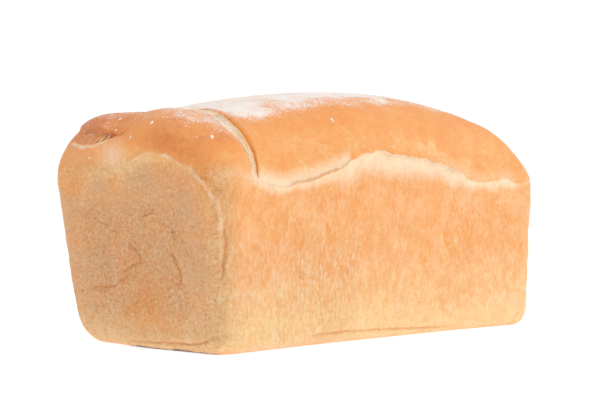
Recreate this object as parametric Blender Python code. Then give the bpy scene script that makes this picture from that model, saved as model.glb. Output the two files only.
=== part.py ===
"""A white tin loaf: one piece of bread, baked in an open tapered tin.

The walls lean out with the tin and rise to an uneven tear line, where the crown sprang up in the oven.
The crown is a long arch, split across near the left end, so that the end stands as two lobes of its own.
A rolled flap of dough shows as an arch on the left end, and the base is flat with rounded edges.

Metres, +Z up. X runs along the loaf, -Y is the front long side and -X the end with the flap.
The origin is on the table, under the middle of the loaf's box.
"""

import math

import bmesh
import bpy
import numpy as np
from mathutils import Vector, noise

# The walls, as the tin shaped them. A lean is how far a wall has moved out at the tin's rim.
BASE_ENDS = (-0.1195, 0.1172)
BASE_WIDTH = 0.104
TIN_DEPTH = 0.074
LEFT_END_LEAN = (0.0085, 0.0100)  # at its front and its back corner
RIGHT_END_LEAN = (-0.0022, 0.0030)
FRONT_LEAN = (0.0060, 0.0030)  # at its left and its right corner
BACK_LEAN = (0.0060, 0.0060)
CORNER_RADIUS = 0.016
BASE_EDGE_RADIUS = (0.008, 0.014)  # in general, and at the back left corner
BASE_EDGE_LIFT = 0.0012  # the long sides' lower edges stand off the table by this, halfway along

# The crown. Its section across the loaf is a superellipse with these two powers.
CROWN_POWER_ACROSS = 2.5
CROWN_POWER_UP = 2.25
CROWN_END_RADII = (0.019, 0.028)  # where the crown rolls down over its left and its right end
CREST = (
    (-0.135, 0.1040), (-0.120, 0.1070), (-0.104, 0.1106), (-0.088, 0.1130), (-0.070, 0.1155),
    (-0.049, 0.1181), (-0.026, 0.1204), (0.000, 0.1220), (0.018, 0.1221), (0.032, 0.1212),
    (0.047, 0.1197), (0.060, 0.1181), (0.072, 0.1162), (0.089, 0.1130), (0.106, 0.1088),
    (0.125, 0.1035),
)

# Height of the tear line between wall and crown, as (x, z), on the front and on the back.
TEAR_FRONT = (
    (-0.135, 0.0800), (-0.103, 0.0785), (-0.094, 0.0762), (-0.086, 0.0748), (-0.067, 0.0783),
    (-0.046, 0.0833), (-0.039, 0.0882), (-0.030, 0.0912), (-0.016, 0.0920), (-0.003, 0.0898),
    (0.017, 0.0884), (0.032, 0.0856), (0.043, 0.0820), (0.051, 0.0766), (0.070, 0.0734),
    (0.091, 0.0790), (0.125, 0.0805),
)
TEAR_BACK = (
    (-0.135, 0.0780), (-0.096, 0.0745), (-0.070, 0.0800), (-0.042, 0.0780), (-0.015, 0.0850),
    (0.012, 0.0885), (0.040, 0.0835), (0.062, 0.0850), (0.088, 0.0760), (0.125, 0.0785),
)
TEAR_RIGHT_END_HEIGHT = 0.0805
TEAR_STEP = 0.0022  # how far the crown's skin sits back behind the wall at the line
TEAR_STEP_REACH = 0.011  # the height over which it comes forward again
TEAR_LIP = 0.0007
TEAR_AT_ENDS = 0.35  # the share of the step that is left round the ends

# The split across the crown.
SPLIT_AT_X = -0.1015
SPLIT_SLANT = 0.0040  # how far it wanders towards the middle at the crest
SPLIT_FOOT_HEIGHT = 0.0780
SPLIT_DEPTH = 0.0060
SPLIT_HALF_WIDTH = 0.0026
SPLIT_VALLEY_DEPTH = 0.0024  # the lobes roll down into the split over this wider valley
SPLIT_VALLEY_HALF_WIDTH = 0.0085
SPLIT_BACK_END_Y = 0.046

# The left end's lobes, as (centre, reach, rise), and the fold under the back one, as points of its crease.
LOBES = (
    ((-0.117, 0.038, 0.101), 0.018, 0.0062),
    ((-0.112, -0.012, 0.110), 0.020, 0.0022),
    ((-0.124, 0.012, 0.108), 0.011, -0.0026),
    ((-0.131, 0.046, 0.086), 0.011, 0.0020),
)
FOLD_CREASE = (
    (-0.128, 0.051, 0.0890), (-0.130, 0.036, 0.0925), (-0.130, 0.016, 0.0945), (-0.128, 0.003, 0.0985),
    (-0.123, -0.001, 0.1040), (-0.114, 0.006, 0.1085), (-0.105, 0.014, 0.1100), (-0.098, 0.020, 0.1110),
)
FOLD_DEPTH = 0.0042
FOLD_HALF_WIDTH = 0.0030

# The rolled flap on the left end, as half ellipses (centre y, centre z, half width, height above the centre).
FLAP_ARCHES = ((-0.020, 0.055, 0.038, 0.038), (0.012, 0.078, 0.012, 0.012))
FLAP_RISE = 0.0018
FLAP_EDGE = 0.0045
FLAP_FOOT = (0.018, 0.053)  # the heights between which the flap melts into the wall

# Slack of a real crust.
WALL_HOLLOW = 0.0012  # how far the walls sink in between their corners
UNEVENNESS = 0.0009
UNEVEN_SPAN = 0.034

# The block of quads that is pressed out to the loaf's form, and the core that its rays leave.
STEPS = (52, 20, 22)
BLOCK_LOW = (-0.126, -0.057, 0.0)
BLOCK_HIGH = (0.126, 0.057, 0.100)
CLOSE_STEPS = ((-0.100, 0.012, 2.6), (0.030, 0.020, 0.5), (0.080, 0.012, 1.4))  # (where, reach, extra) per axis
CORE_LOW = (-0.080, -0.012, 0.042)
CORE_HIGH = (0.080, 0.012, 0.062)

CRUST_COLOUR = (0.80, 0.45, 0.19, 1.0)
CRUST_ROUGHNESS = 0.62


def clear_scene():
    for item in list(bpy.data.objects):
        bpy.data.objects.remove(item, do_unlink=True)


def crust_material():
    material = bpy.data.materials.new("crust")
    material.use_nodes = True
    shader = material.node_tree.nodes["Principled BSDF"]
    shader.inputs["Base Color"].default_value = CRUST_COLOUR
    shader.inputs["Roughness"].default_value = CRUST_ROUGHNESS
    shader.inputs["Metallic"].default_value = 0.0
    material.diffuse_color = CRUST_COLOUR
    return material


def eased(share):
    """0 below 0, 1 above 1, and a smooth rise in between."""
    share = np.clip(share, 0.0, 1.0)
    return share * share * (3.0 - 2.0 * share)


def hump(distance, reach):
    """1 at no distance, falling to almost nothing at twice the reach."""
    return np.exp(-((distance / reach) ** 2))


def capped(value, cap, softness):
    """The smaller of value and cap, with a soft turn from one to the other."""
    return (value + cap - np.sqrt((value - cap) ** 2 + softness**2)) / 2.0


def between(pair, share):
    return pair[0] + (pair[1] - pair[0]) * share


def rounded(first, second, radius):
    """Distance to the meeting of two solids, from the distances to each, with a round edge of that radius."""
    a, b = first + radius, second + radius
    outside = np.hypot(np.maximum(a, 0.0), np.maximum(b, 0.0))
    return outside + np.minimum(np.maximum(a, b), 0.0) - radius


def line_height(points, x):
    xs, zs = zip(*points)
    return np.interp(x, xs, zs)


def soft_line_height(points, x, span=0.012):
    """A line's height without its corners: the mean over a short span."""
    offsets = np.linspace(-span, span, 7)
    return sum(line_height(points, x + offset) for offset in offsets) / len(offsets)


def tear_height(x, y, line=line_height):
    return np.where(y < 0.0, line(TEAR_FRONT, x), line(TEAR_BACK, x))


def end_distance(x, y, z):
    """Distance outside the two end walls."""
    up = capped(z / TIN_DEPTH, 1.08, 0.25)
    to_back = eased(0.5 + y / BASE_WIDTH)
    left = BASE_ENDS[0] - x - between(LEFT_END_LEAN, to_back) * up
    right = x - BASE_ENDS[1] - between(RIGHT_END_LEAN, to_back) * up
    return np.maximum(left, right)


def shell_distance(x, y, z):
    """Distance outside the long walls and the crown, which are one surface: upright below the tear line
    and a superellipse above it."""
    foot = tear_height(x, y, soft_line_height)
    rise = soft_line_height(CREST, x) - foot
    to_right = eased((x - BASE_ENDS[0]) / (BASE_ENDS[1] - BASE_ENDS[0]))
    lean = np.where(y < 0.0, between(FRONT_LEAN, to_right), between(BACK_LEAN, to_right))
    half_width = BASE_WIDTH / 2 + lean * np.minimum(z, foot) / TIN_DEPTH
    across = np.abs(y) / half_width
    above = np.maximum(z - foot, 0.0) / rise
    level = across**CROWN_POWER_ACROSS + above**CROWN_POWER_UP - 1.0
    slope_y = CROWN_POWER_ACROSS * across ** (CROWN_POWER_ACROSS - 1.0) / half_width
    slope_z = CROWN_POWER_UP * above ** (CROWN_POWER_UP - 1.0) / rise
    return level / np.maximum(np.hypot(slope_y, slope_z), 1.0 / half_width)


def base_distance(x, y, z):
    """Distance below the base, whose long edges lift a little halfway along."""
    near_side = eased((np.abs(y) - 0.7 * BASE_WIDTH / 2) / (0.3 * BASE_WIDTH / 2))
    halfway = eased(1.25 - np.abs(x) / BASE_ENDS[1])
    return BASE_EDGE_LIFT * near_side * halfway - z


def form_distance(points):
    """Distance outside the loaf's plain form, before its tears, folds and lobes."""
    x, y, z = points.T
    top_share = eased((z - TIN_DEPTH) / 0.020)
    crown_radius = between(CROWN_END_RADII, eased(0.5 + x / 0.1))
    end_radius = CORNER_RADIUS + (crown_radius - CORNER_RADIUS) * top_share
    body = rounded(end_distance(x, y, z), shell_distance(x, y, z), end_radius)
    back_left = eased(-x / 0.06 - 0.8) * eased(y / 0.04)
    return rounded(body, base_distance(x, y, z), between(BASE_EDGE_RADIUS, back_left))


def press_out(points):
    """Moves the block's points along rays from a core inside it, until each lies on the loaf's form."""
    starts = np.clip(points, CORE_LOW, CORE_HIGH)
    rays = points - starts
    inside, outside = np.zeros(len(points)), np.full(len(points), 2.5)
    for _ in range(40):
        middle = (inside + outside) / 2
        within = form_distance(starts + rays * middle[:, None]) < 0.0
        inside = np.where(within, middle, inside)
        outside = np.where(within, outside, middle)
    return starts + rays * inside[:, None]


def form_normals(points, step=0.0002):
    """Outward directions of the plain form, from how its distance changes along each axis."""
    slopes = [form_distance(points + step * axis) - form_distance(points - step * axis) for axis in np.eye(3)]
    normals = np.stack(slopes, axis=1)
    return normals / np.linalg.norm(normals, axis=1, keepdims=True)


def distance_to_path(points, path):
    """Distance to a path of straight runs, and how far along the path the nearest point is, from 0 to 1."""
    path = np.array(path)
    best = np.full(len(points), np.inf)
    along = np.zeros(len(points))
    for i in range(len(path) - 1):
        run = path[i + 1] - path[i]
        share = np.clip((points - path[i]) @ run / (run @ run), 0.0, 1.0)
        away = np.linalg.norm(points - path[i] - share[:, None] * run, axis=1)
        nearer = away < best
        best = np.where(nearer, away, best)
        along = np.where(nearer, (i + share) / (len(path) - 1), along)
    return best, along


def tear_relief(points, normals):
    """The crown's skin sits back behind the lip of the wall, along the whole tear line."""
    x, y, z = points.T
    on_sides = eased(np.abs(normals[:, 1]) * 2.0 - 0.5)
    on_right_end = eased(normals[:, 0] * 2.0 - 0.5) * (1.0 - on_sides)
    relief = np.zeros(len(points))
    on_sides = on_sides * between((TEAR_AT_ENDS, 1.0), eased((BASE_ENDS[1] - np.abs(x)) / 0.020))
    on_right_end = on_right_end * TEAR_AT_ENDS
    for share, height in ((on_sides, tear_height(x, y)), (on_right_end, TEAR_RIGHT_END_HEIGHT)):
        above = z - height
        passed = eased(above / 0.003 + 0.5)
        back = TEAR_STEP * np.exp(-np.maximum(above, 0.0) / TEAR_STEP_REACH) * passed
        lip = TEAR_LIP * np.exp(np.minimum(above, 0.0) / 0.006) * (1.0 - passed)
        relief += share * (lip - back)
    return relief


def split_relief(points):
    """The split across the crown near the left end: a narrow tear in a wider valley."""
    x, y, z = points.T
    to_crest = eased((y + BASE_WIDTH / 2) / (BASE_WIDTH / 2))
    away = x - (SPLIT_AT_X + SPLIT_SLANT * to_crest)
    open_here = eased((z - SPLIT_FOOT_HEIGHT + 0.002) / 0.006) * eased((SPLIT_BACK_END_Y - y) / 0.012)
    tear = SPLIT_DEPTH * hump(away, SPLIT_HALF_WIDTH)
    valley = SPLIT_VALLEY_DEPTH * hump(away, SPLIT_VALLEY_HALF_WIDTH)
    return -open_here * (tear + valley)


def lobe_relief(points):
    """The lobes of the left end and the crease that folds in under the back one."""
    away, along = distance_to_path(points, FOLD_CREASE)
    fading = eased(along / 0.10 + 0.35) * (1.0 - 0.5 * eased(2.0 * along - 0.9))
    relief = -FOLD_DEPTH * hump(away, FOLD_HALF_WIDTH) * fading
    for centre, reach, rise in LOBES:
        relief += rise * hump(np.linalg.norm(points - centre, axis=1), reach)
    return relief


def flap_relief(points, normals):
    """The end of the rolled dough, standing a little proud of the left end as an arch."""
    _, y, z = points.T
    inside = np.zeros(len(points))
    for centre_y, centre_z, half_width, height in FLAP_ARCHES:
        up = np.maximum(z - centre_z, 0.0) / height
        edge = (1.0 - np.hypot((y - centre_y) / half_width, up)) * min(half_width, height)
        inside = np.maximum(inside, eased(edge / FLAP_EDGE))
    on_left_end = eased(-normals[:, 0] * 2.0 - 0.4)
    above_foot = eased((z - FLAP_FOOT[0]) / (FLAP_FOOT[1] - FLAP_FOOT[0]))
    return FLAP_RISE * inside * above_foot * on_left_end


def slack_relief(points, normals):
    """Walls that sink in between their corners, and the gentle unevenness of a hand-shaped dough."""
    x, y, z = points.T
    mid_height = np.sin(np.pi * np.clip(z / 0.082, 0.0, 1.0)) ** 2
    along = np.cos(np.pi / 2 * np.clip(x / BASE_ENDS[1], -1, 1)) ** 2
    across = np.cos(np.pi / 2 * np.clip(y / (BASE_WIDTH / 2), -1, 1)) ** 2
    hollow = WALL_HOLLOW * mid_height * (np.abs(normals[:, 1]) * along + np.abs(normals[:, 0]) * across)
    waves = np.array([noise.noise(Vector(p) / UNEVEN_SPAN + Vector((3.1, 0.0, 7.4))) for p in points])
    off_base = eased(z / 0.012)
    return off_base * (UNEVENNESS * waves - hollow)


def shape_loaf(points):
    """The loaf's surface, from points of the block."""
    surface = press_out(points)
    normals = form_normals(surface)
    relief = tear_relief(surface, normals) + split_relief(surface) + lobe_relief(surface)
    relief += flap_relief(surface, normals) + slack_relief(surface, normals)
    return surface + normals * relief[:, None]


def foot_of_box(points):
    """The middle of the points' box in plan, at its lowest height."""
    low, high = points.min(axis=0), points.max(axis=0)
    return np.array([(low[0] + high[0]) / 2, (low[1] + high[1]) / 2, low[2]])


def stations(low, high, steps, close):
    """Places of the cuts between low and high, closer together round one place."""
    where, reach, extra = close
    fine = np.linspace(low, high, 2001)
    weight = np.cumsum(1.0 + extra * hump(fine - where, reach))
    weight = (weight - weight[0]) / (weight[-1] - weight[0])
    return np.interp(np.linspace(0.0, 1.0, steps + 1)[1:-1], weight, fine)


def quad_block():
    """A cube primitive of the block's size, sliced along each axis into quads."""
    low, high = np.array(BLOCK_LOW), np.array(BLOCK_HIGH)
    bpy.ops.mesh.primitive_cube_add(size=1.0, location=(low + high) / 2, scale=high - low)
    block = bpy.context.object
    bpy.ops.object.transform_apply(location=True, rotation=False, scale=True)
    grid = bmesh.new()
    grid.from_mesh(block.data)
    for axis in range(3):
        direction = Vector([float(k == axis) for k in range(3)])
        for place in stations(low[axis], high[axis], STEPS[axis], CLOSE_STEPS[axis]):
            bmesh.ops.bisect_plane(
                grid,
                geom=grid.verts[:] + grid.edges[:] + grid.faces[:],
                plane_co=direction * place,
                plane_no=direction,
            )
    grid.to_mesh(block.data)
    grid.free()
    return block


def flatten_base(mesh):
    """Joins the base's flat quads into one face, the face that the loaf stands on."""
    shell = bmesh.new()
    shell.from_mesh(mesh)
    flat = [face for face in shell.faces if all(abs(v.co.z) < 1e-6 for v in face.verts)]
    bmesh.ops.dissolve_faces(shell, faces=flat)
    bmesh.ops.recalc_face_normals(shell, faces=shell.faces)
    shell.to_mesh(mesh)
    shell.free()


def build_loaf():
    loaf = quad_block()
    loaf.name = "loaf"
    mesh = loaf.data
    mesh.name = "loaf"
    points = np.empty(len(mesh.vertices) * 3)
    mesh.vertices.foreach_get("co", points)
    shaped = shape_loaf(points.reshape(-1, 3))
    shaped -= foot_of_box(shaped)
    shaped[:, 2] = np.where(shaped[:, 2] < 1e-6, 0.0, shaped[:, 2])
    mesh.vertices.foreach_set("co", shaped.ravel())
    flatten_base(mesh)
    mesh.materials.append(crust_material())
    mesh.shade_smooth()
    mesh.set_sharp_from_angle(angle=math.radians(50.0))
    return loaf


def main():
    clear_scene()
    collection = bpy.data.collections.new("tin loaf")
    bpy.context.scene.collection.children.link(collection)
    loaf = build_loaf()
    for holder in list(loaf.users_collection):
        holder.objects.unlink(loaf)
    collection.objects.link(loaf)


main()
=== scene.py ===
"""The looks of a white tin loaf, laid out as a Blender add-on and run as a script.

The crust is one closed mesh, pressed out from a block to the loaf's form and then given its tears, folds and
wrinkles. Torn strands of dough lie along the split and hang in the gash, and flour lies on the crown. Metres, +Z
up, X along the loaf.
"""

import math
import random

import bmesh
import bpy
import numpy as np
from bpy.props import FloatProperty, FloatVectorProperty, PointerProperty
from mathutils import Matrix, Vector, noise
from mathutils.bvhtree import BVHTree


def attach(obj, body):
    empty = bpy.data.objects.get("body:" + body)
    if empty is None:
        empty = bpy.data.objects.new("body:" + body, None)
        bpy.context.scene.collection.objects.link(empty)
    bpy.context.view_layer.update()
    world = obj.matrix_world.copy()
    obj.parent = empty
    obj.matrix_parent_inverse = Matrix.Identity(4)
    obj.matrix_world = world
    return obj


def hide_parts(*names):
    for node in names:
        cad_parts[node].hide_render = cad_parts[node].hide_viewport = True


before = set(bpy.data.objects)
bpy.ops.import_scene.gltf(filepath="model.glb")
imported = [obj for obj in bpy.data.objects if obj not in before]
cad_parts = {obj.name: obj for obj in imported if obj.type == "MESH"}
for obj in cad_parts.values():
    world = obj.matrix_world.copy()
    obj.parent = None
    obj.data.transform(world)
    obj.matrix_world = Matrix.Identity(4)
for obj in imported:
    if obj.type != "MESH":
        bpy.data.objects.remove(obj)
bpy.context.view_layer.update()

bl_info = {
    "name": "Tin Loaf",
    "version": (1, 0, 0),
    "blender": (4, 5, 0),
    "location": "View3D > Sidebar > Tin Loaf",
    "description": "Builds a white tin loaf, its torn strands, its flour and a plain studio round its CAD model",
    "category": "Add Mesh",
}

MM = 0.001

# The walls, as the tin shaped them. A lean is how far a wall has moved out at the tin's rim.
BASE_ENDS = (-0.1195, 0.1172)
BASE_WIDTH = 0.104
TIN_DEPTH = 0.074
LEFT_END_LEAN = (0.0085, 0.0100)  # at its front and its back corner
RIGHT_END_LEAN = (-0.0022, 0.0030)
FRONT_LEAN = (0.0060, 0.0030)  # at its left and its right corner
BACK_LEAN = (0.0060, 0.0060)
CORNER_RADIUS = 0.016
BASE_EDGE_RADIUS = (0.008, 0.014)  # in general, and at the back left corner
BASE_EDGE_LIFT = 0.0012

# The crown. Its section across the loaf is a superellipse with these two powers.
CROWN_POWER_ACROSS = 2.5
CROWN_POWER_UP = 2.25
CROWN_END_RADII = (0.019, 0.028)
CREST = (
    (-0.135, 0.1040), (-0.120, 0.1070), (-0.104, 0.1106), (-0.088, 0.1130), (-0.070, 0.1155),
    (-0.049, 0.1181), (-0.026, 0.1204), (0.000, 0.1220), (0.018, 0.1221), (0.032, 0.1212),
    (0.047, 0.1197), (0.060, 0.1181), (0.072, 0.1162), (0.089, 0.1130), (0.106, 0.1088),
    (0.125, 0.1035),
)

# Height of the tear line between wall and crown, and the depth of the pale band under it, as (x, metres).
TEAR_FRONT = (
    (-0.135, 0.0800), (-0.103, 0.0785), (-0.094, 0.0762), (-0.086, 0.0748), (-0.067, 0.0783),
    (-0.046, 0.0833), (-0.039, 0.0882), (-0.030, 0.0912), (-0.016, 0.0920), (-0.003, 0.0898),
    (0.017, 0.0884), (0.032, 0.0856), (0.043, 0.0826), (0.050, 0.0806), (0.054, 0.0778), (0.060, 0.0762),
    (0.070, 0.0764), (0.081, 0.0782), (0.087, 0.0776), (0.092, 0.0756), (0.102, 0.0770), (0.125, 0.0800),
)
TEAR_BACK = (
    (-0.135, 0.0780), (-0.096, 0.0745), (-0.070, 0.0800), (-0.042, 0.0780), (-0.015, 0.0850),
    (0.012, 0.0885), (0.040, 0.0835), (0.062, 0.0850), (0.088, 0.0760), (0.125, 0.0785),
)
TEAR_RIGHT_END_HEIGHT = 0.0805
BAND_DEPTH = (
    (-0.120, 0.0040), (-0.100, 0.0050), (-0.080, 0.0050), (-0.060, 0.0060), (-0.040, 0.0125),
    (-0.004, 0.0125), (0.036, 0.0100), (0.050, 0.0095), (0.060, 0.0045), (0.073, 0.0070), (0.092, 0.0060),
    (0.110, 0.0020), (0.125, 0.0020),
)

# The split across the crown: its lip as (y, x) from front to back, and the section beside the lip, as
# (millimetres along the loaf, share of the split's depth).
SPLIT_LINE = (
    (-0.060, -0.1018), (-0.052, -0.1013), (-0.044, -0.0993), (-0.036, -0.0973), (-0.026, -0.0945),
    (-0.014, -0.0926), (0.000, -0.0922), (0.020, -0.0935), (0.046, -0.0970),
)
SPLIT_SECTION = (
    (-11.0, 0.00), (-8.8, -0.05), (-7.6, -0.34), (-6.9, -0.36), (-6.0, -0.02), (-5.2, 0.02), (-4.6, -0.30),
    (-4.0, -0.62), (-3.5, -0.26), (-2.8, 0.06), (-2.1, 0.06), (-1.6, -0.30), (-0.9, -1.00), (-0.3, -1.00),
    (0.1, -0.45), (0.4, 0.10), (1.2, 0.20), (3.0, 0.14), (6.5, 0.04), (9.0, 0.0),
)
SPLIT_FOOT_HEIGHT = 0.0775
SPLIT_BACK_END_Y = 0.046

# Lobes and hollows of the left end, and two of the right end, as (centre, reach, rise). A negative rise makes a
# hollow.
LOBES = (
    ((-0.116, 0.036, 0.102), 0.017, 0.0047),
    ((-0.114, -0.008, 0.110), 0.018, 0.0031),
    ((-0.092, 0.002, 0.116), 0.018, -0.0018),
    ((-0.124, 0.012, 0.108), 0.011, -0.0026),
    ((-0.131, 0.046, 0.086), 0.011, 0.0008),
    ((0.116, -0.050, 0.060), 0.022, 0.0016),
    ((0.102, -0.016, 0.108), 0.026, -0.0024),
)

# The gash under the back lobe, its lower and its upper edge as (y, z), and the crease that runs on from it.
GASH_LOW = (
    (0.010, 0.0986), (0.013, 0.0972), (0.017, 0.0951), (0.022, 0.0938), (0.028, 0.0929), (0.034, 0.0933),
    (0.046, 0.0942), (0.056, 0.0925),
)
GASH_HIGH = (
    (0.010, 0.0996), (0.013, 0.1000), (0.017, 0.1002), (0.022, 0.1002), (0.028, 0.1001), (0.034, 0.0996),
    (0.046, 0.0980), (0.056, 0.0950),
)
FOLD_CREASE = (
    (-0.1262, 0.0115, 0.0984), (-0.1250, 0.0077, 0.0998), (-0.1237, 0.0048, 0.1012), (-0.1194, 0.0036, 0.1049),
    (-0.1113, 0.0064, 0.1088), (-0.1020, 0.0130, 0.1105), (-0.0940, 0.0200, 0.1118),
)

# The arches of the rolled dough on the left end, as (y, z) along their rims.
NEAR_ARCH = (
    (0.0078, 0.0720), (0.0066, 0.0764), (0.0052, 0.0801), (0.0029, 0.0833), (-0.0001, 0.0854),
    (-0.0040, 0.0871), (-0.0076, 0.0888), (-0.0125, 0.0900), (-0.0172, 0.0905), (-0.0226, 0.0902),
    (-0.0271, 0.0893), (-0.0311, 0.0879), (-0.0364, 0.0856), (-0.0420, 0.0838), (-0.0457, 0.0805),
    (-0.0481, 0.0778), (-0.0500, 0.0747), (-0.0513, 0.0716), (-0.0527, 0.0690), (-0.0533, 0.0651),
    (-0.0533, 0.0606), (-0.0526, 0.0543), (-0.0520, 0.0476), (-0.0510, 0.0388), (-0.0504, 0.0300),
)
FAR_ARCH = (
    (0.0370, 0.0640), (0.0330, 0.0710), (0.0289, 0.0772), (0.0254, 0.0803), (0.0216, 0.0830),
    (0.0176, 0.0839), (0.0133, 0.0819), (0.0102, 0.0789), (0.0075, 0.0755),
)

# Wrinkles: on the left end as (y, z), on the front as (x, z). Each has its depth and its half width in
# millimetres, the side on which it swells, and how dark its bottom is painted, as painted shade. A negative depth
# makes a soft ridge, which is painted pale instead of dark, as a painted highlight.
END_WRINKLES = (
    (((0.0370, 0.0255), (0.0279, 0.0284), (0.0215, 0.0282), (0.0151, 0.0290), (0.0113, 0.0319), (0.0040, 0.0342)),
     0.45, 0.50, 1, 0.55),
    (((0.0240, 0.0255), (0.0196, 0.0278)), 0.35, 0.40, 1, 0.45),
    (((0.0145, 0.0346), (0.0080, 0.0363), (0.0026, 0.0392), (-0.0023, 0.0408), (-0.0032, 0.0427),
      (-0.0016, 0.0454), (0.0024, 0.0475), (0.0027, 0.0498), (-0.0010, 0.0535)), 0.55, 0.50, -1, 0.60),
    (((-0.0010, 0.0410), (-0.0066, 0.0406)), 0.25, 0.45, 1, 0.25),
    (((-0.0205, 0.0482), (-0.0244, 0.0449), (-0.0268, 0.0425), (-0.0283, 0.0395), (-0.0299, 0.0364),
      (-0.0296, 0.0332), (-0.0252, 0.0285)), 0.65, 0.50, 1, 0.75),
    (((0.0300, 0.0640), (0.0255, 0.0614), (0.0222, 0.0593), (0.0179, 0.0575), (0.0120, 0.0577)),
     0.35, 0.45, -1, 0.35),
    (((-0.0155, 0.0685), (-0.0149, 0.0637), (-0.0095, 0.0622), (-0.0068, 0.0601), (-0.0030, 0.0590)),
     0.40, 0.45, -1, 0.45),
    (((-0.0262, 0.0575), (-0.0262, 0.0500)), 0.40, 0.45, 1, 0.40),
    (((-0.0320, 0.0570), (-0.0322, 0.0490)), 0.35, 0.45, -1, 0.35),
    (((-0.0345, 0.0480), (-0.0370, 0.0440)), 0.35, 0.40, 1, 0.35),
    (((-0.0535, 0.0620), (-0.0532, 0.0510), (-0.0524, 0.0448), (-0.0514, 0.0400), (-0.0503, 0.0330)),
     0.70, 0.50, 1, 0.70),
    (((-0.0574, 0.0770), (-0.0570, 0.0745), (-0.0564, 0.0712), (-0.0556, 0.0675)), 0.90, 0.45, 1, 0.90),
    (((0.0250, 0.0033), (-0.0041, 0.0039), (-0.0213, 0.0046), (-0.0310, 0.0043), (-0.0415, 0.0064),
      (-0.0500, 0.0098)), 0.45, 0.50, -1, 0.55),
)
FRONT_WRINKLES = (
    (((-0.0825, 0.0720), (-0.0815, 0.0624), (-0.0812, 0.0510)), -0.45, 1.10, 1, 0.0),
    (((-0.0600, 0.0285), (-0.0565, 0.0223), (-0.0505, 0.0175)), 0.35, 0.60, 1, 0.15),
    (((-0.0420, 0.0400), (-0.0390, 0.0300), (-0.0320, 0.0200)), -0.40, 1.00, 1, 0.0),
    (((-0.0640, 0.0260), (-0.0610, 0.0180)), -0.35, 0.80, -1, 0.0),
    (((0.0300, 0.0540), (0.0380, 0.0400), (0.0420, 0.0300)), -0.40, 1.30, 1, 0.0),
    (((0.0420, 0.0480), (0.0520, 0.0360), (0.0560, 0.0260)), -0.40, 1.30, 1, 0.0),
    (((-0.0200, 0.0450), (-0.0170, 0.0340), (-0.0100, 0.0210)), -0.35, 1.40, 1, 0.0),
    (((0.0750, 0.0640), (0.0860, 0.0420), (0.0960, 0.0300)), -0.35, 1.20, 1, 0.0),
    (((-0.0620, 0.0118), (-0.0430, 0.0122), (-0.0230, 0.0128)), 0.30, 0.60, 1, 0.12),
    (((-0.0700, 0.0058), (-0.0551, 0.0060), (-0.0378, 0.0065), (-0.0177, 0.0057), (0.0041, 0.0047),
      (0.0304, 0.0036), (0.0640, 0.0028)), 0.45, 0.50, -1, 0.50),
)

# Blisters on the front wall, as (centre, reach, rise).
BLISTERS = (((-0.0619, -0.0545, 0.0305), 0.0013, 0.0006), ((-0.0335, -0.0590, 0.0640), 0.0011, 0.0004))

# The upper edge of the pale strip round the foot, on the left end as (y, z) and on the front as (x, z).
END_FOOT = ((-0.050, 0.0085), (-0.0415, 0.0058), (-0.0213, 0.0040), (0.0250, 0.0030), (0.060, 0.0028))
FRONT_FOOT = ((-0.110, 0.0085), (-0.070, 0.0054), (-0.0378, 0.0060), (0.0041, 0.0043), (0.125, 0.0025))

# Torn strands: along the split as (millimetres from the lip, from y, to y, thickness in millimetres), and across
# the gash as the y where each hangs.
STRAND_SEED = 5
SPLIT_STRANDS = (
    (-2.9, -0.056, -0.020, 0.50), (-5.5, -0.054, -0.024, 0.45), (-3.5, -0.050, -0.036, 0.30),
    (-3.0, -0.026, 0.010, 0.45), (-6.2, -0.047, -0.033, 0.30), (-4.6, -0.036, -0.016, 0.35),
    (-2.4, -0.044, -0.030, 0.25), (-5.0, -0.020, 0.018, 0.45),
)
GASH_STRANDS = (0.0180, 0.0205, 0.0216, 0.0248, 0.0290, 0.0302, 0.0345, 0.0362)

# Flour: grains and crumbs as (piece, how many per square metre where it lies thickest, smallest and largest
# half width in metres, subdivisions, seed).
FLOUR_KINDS = (("flour_grains", 90000.0, 0.00012, 0.00042, 1, 3), ("flour_crumbs", 1600.0, 0.00035, 0.00070, 2, 11))

# Clumps of flour, as (place, half width in metres, how long for its width).
FLOUR_CLUMPS = (
    ((-0.1221, -0.0115, 0.1023), 0.00095, 1.1), ((-0.1184, -0.0448, 0.0970), 0.00095, 1.2),
    ((-0.1153, -0.0325, 0.1039), 0.00050, 1.8), ((-0.0435, -0.0488, 0.1063), 0.00060, 3.0),
    ((-0.0965, -0.0209, 0.1104), 0.00060, 1.5), ((-0.1234, 0.0137, 0.1013), 0.00055, 1.2),
    ((-0.1169, 0.0179, 0.1059), 0.00060, 1.3), ((-0.0666, -0.0370, 0.1098), 0.00045, 2.0),
    ((-0.1262, -0.0020, 0.0965), 0.00050, 1.8), ((-0.1190, -0.0300, 0.0985), 0.00035, 1.2),
    ((-0.1200, -0.0380, 0.0945), 0.00030, 1.4), ((0.0300, 0.0100, 0.1210), 0.00070, 1.4),
    ((0.0700, -0.0200, 0.1150), 0.00050, 1.5), ((-0.0200, 0.0350, 0.1120), 0.00065, 1.2),
)

# The middle, in plan, of the form as it is drawn here. The finished loaf has it at the frame's origin.
FORM_MIDDLE = (-0.00649, 0.00040, 0.0)

# The block that is pressed out to the form, and the core that its rays leave.
BLOCK_LOW = (-0.126, -0.057, 0.0)
BLOCK_HIGH = (0.126, 0.057, 0.100)
CORE_LOW = (-0.080, -0.012, 0.042)
CORE_HIGH = (0.080, 0.012, 0.062)
PRESS_REACH = 2.5  # how far out the search along a ray starts, in lengths of that ray
PRESS_HALVINGS = 26

# Strands along the split: the distance between their points, how many sides they have round, and the y behind
# which the crown is flat enough to be met from above.
STRAND_STEP = 0.0012
STRAND_SIDES = 7
STEEP_CROWN_Y = -0.03

# Strands in the gash: how many straight runs each has, and how far it bows and stands back into the gash.
GASH_STRAND_RUNS = 6
GASH_STRAND_BOW = 0.0009
GASH_STRAND_STANDOFF = 0.0006

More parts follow.
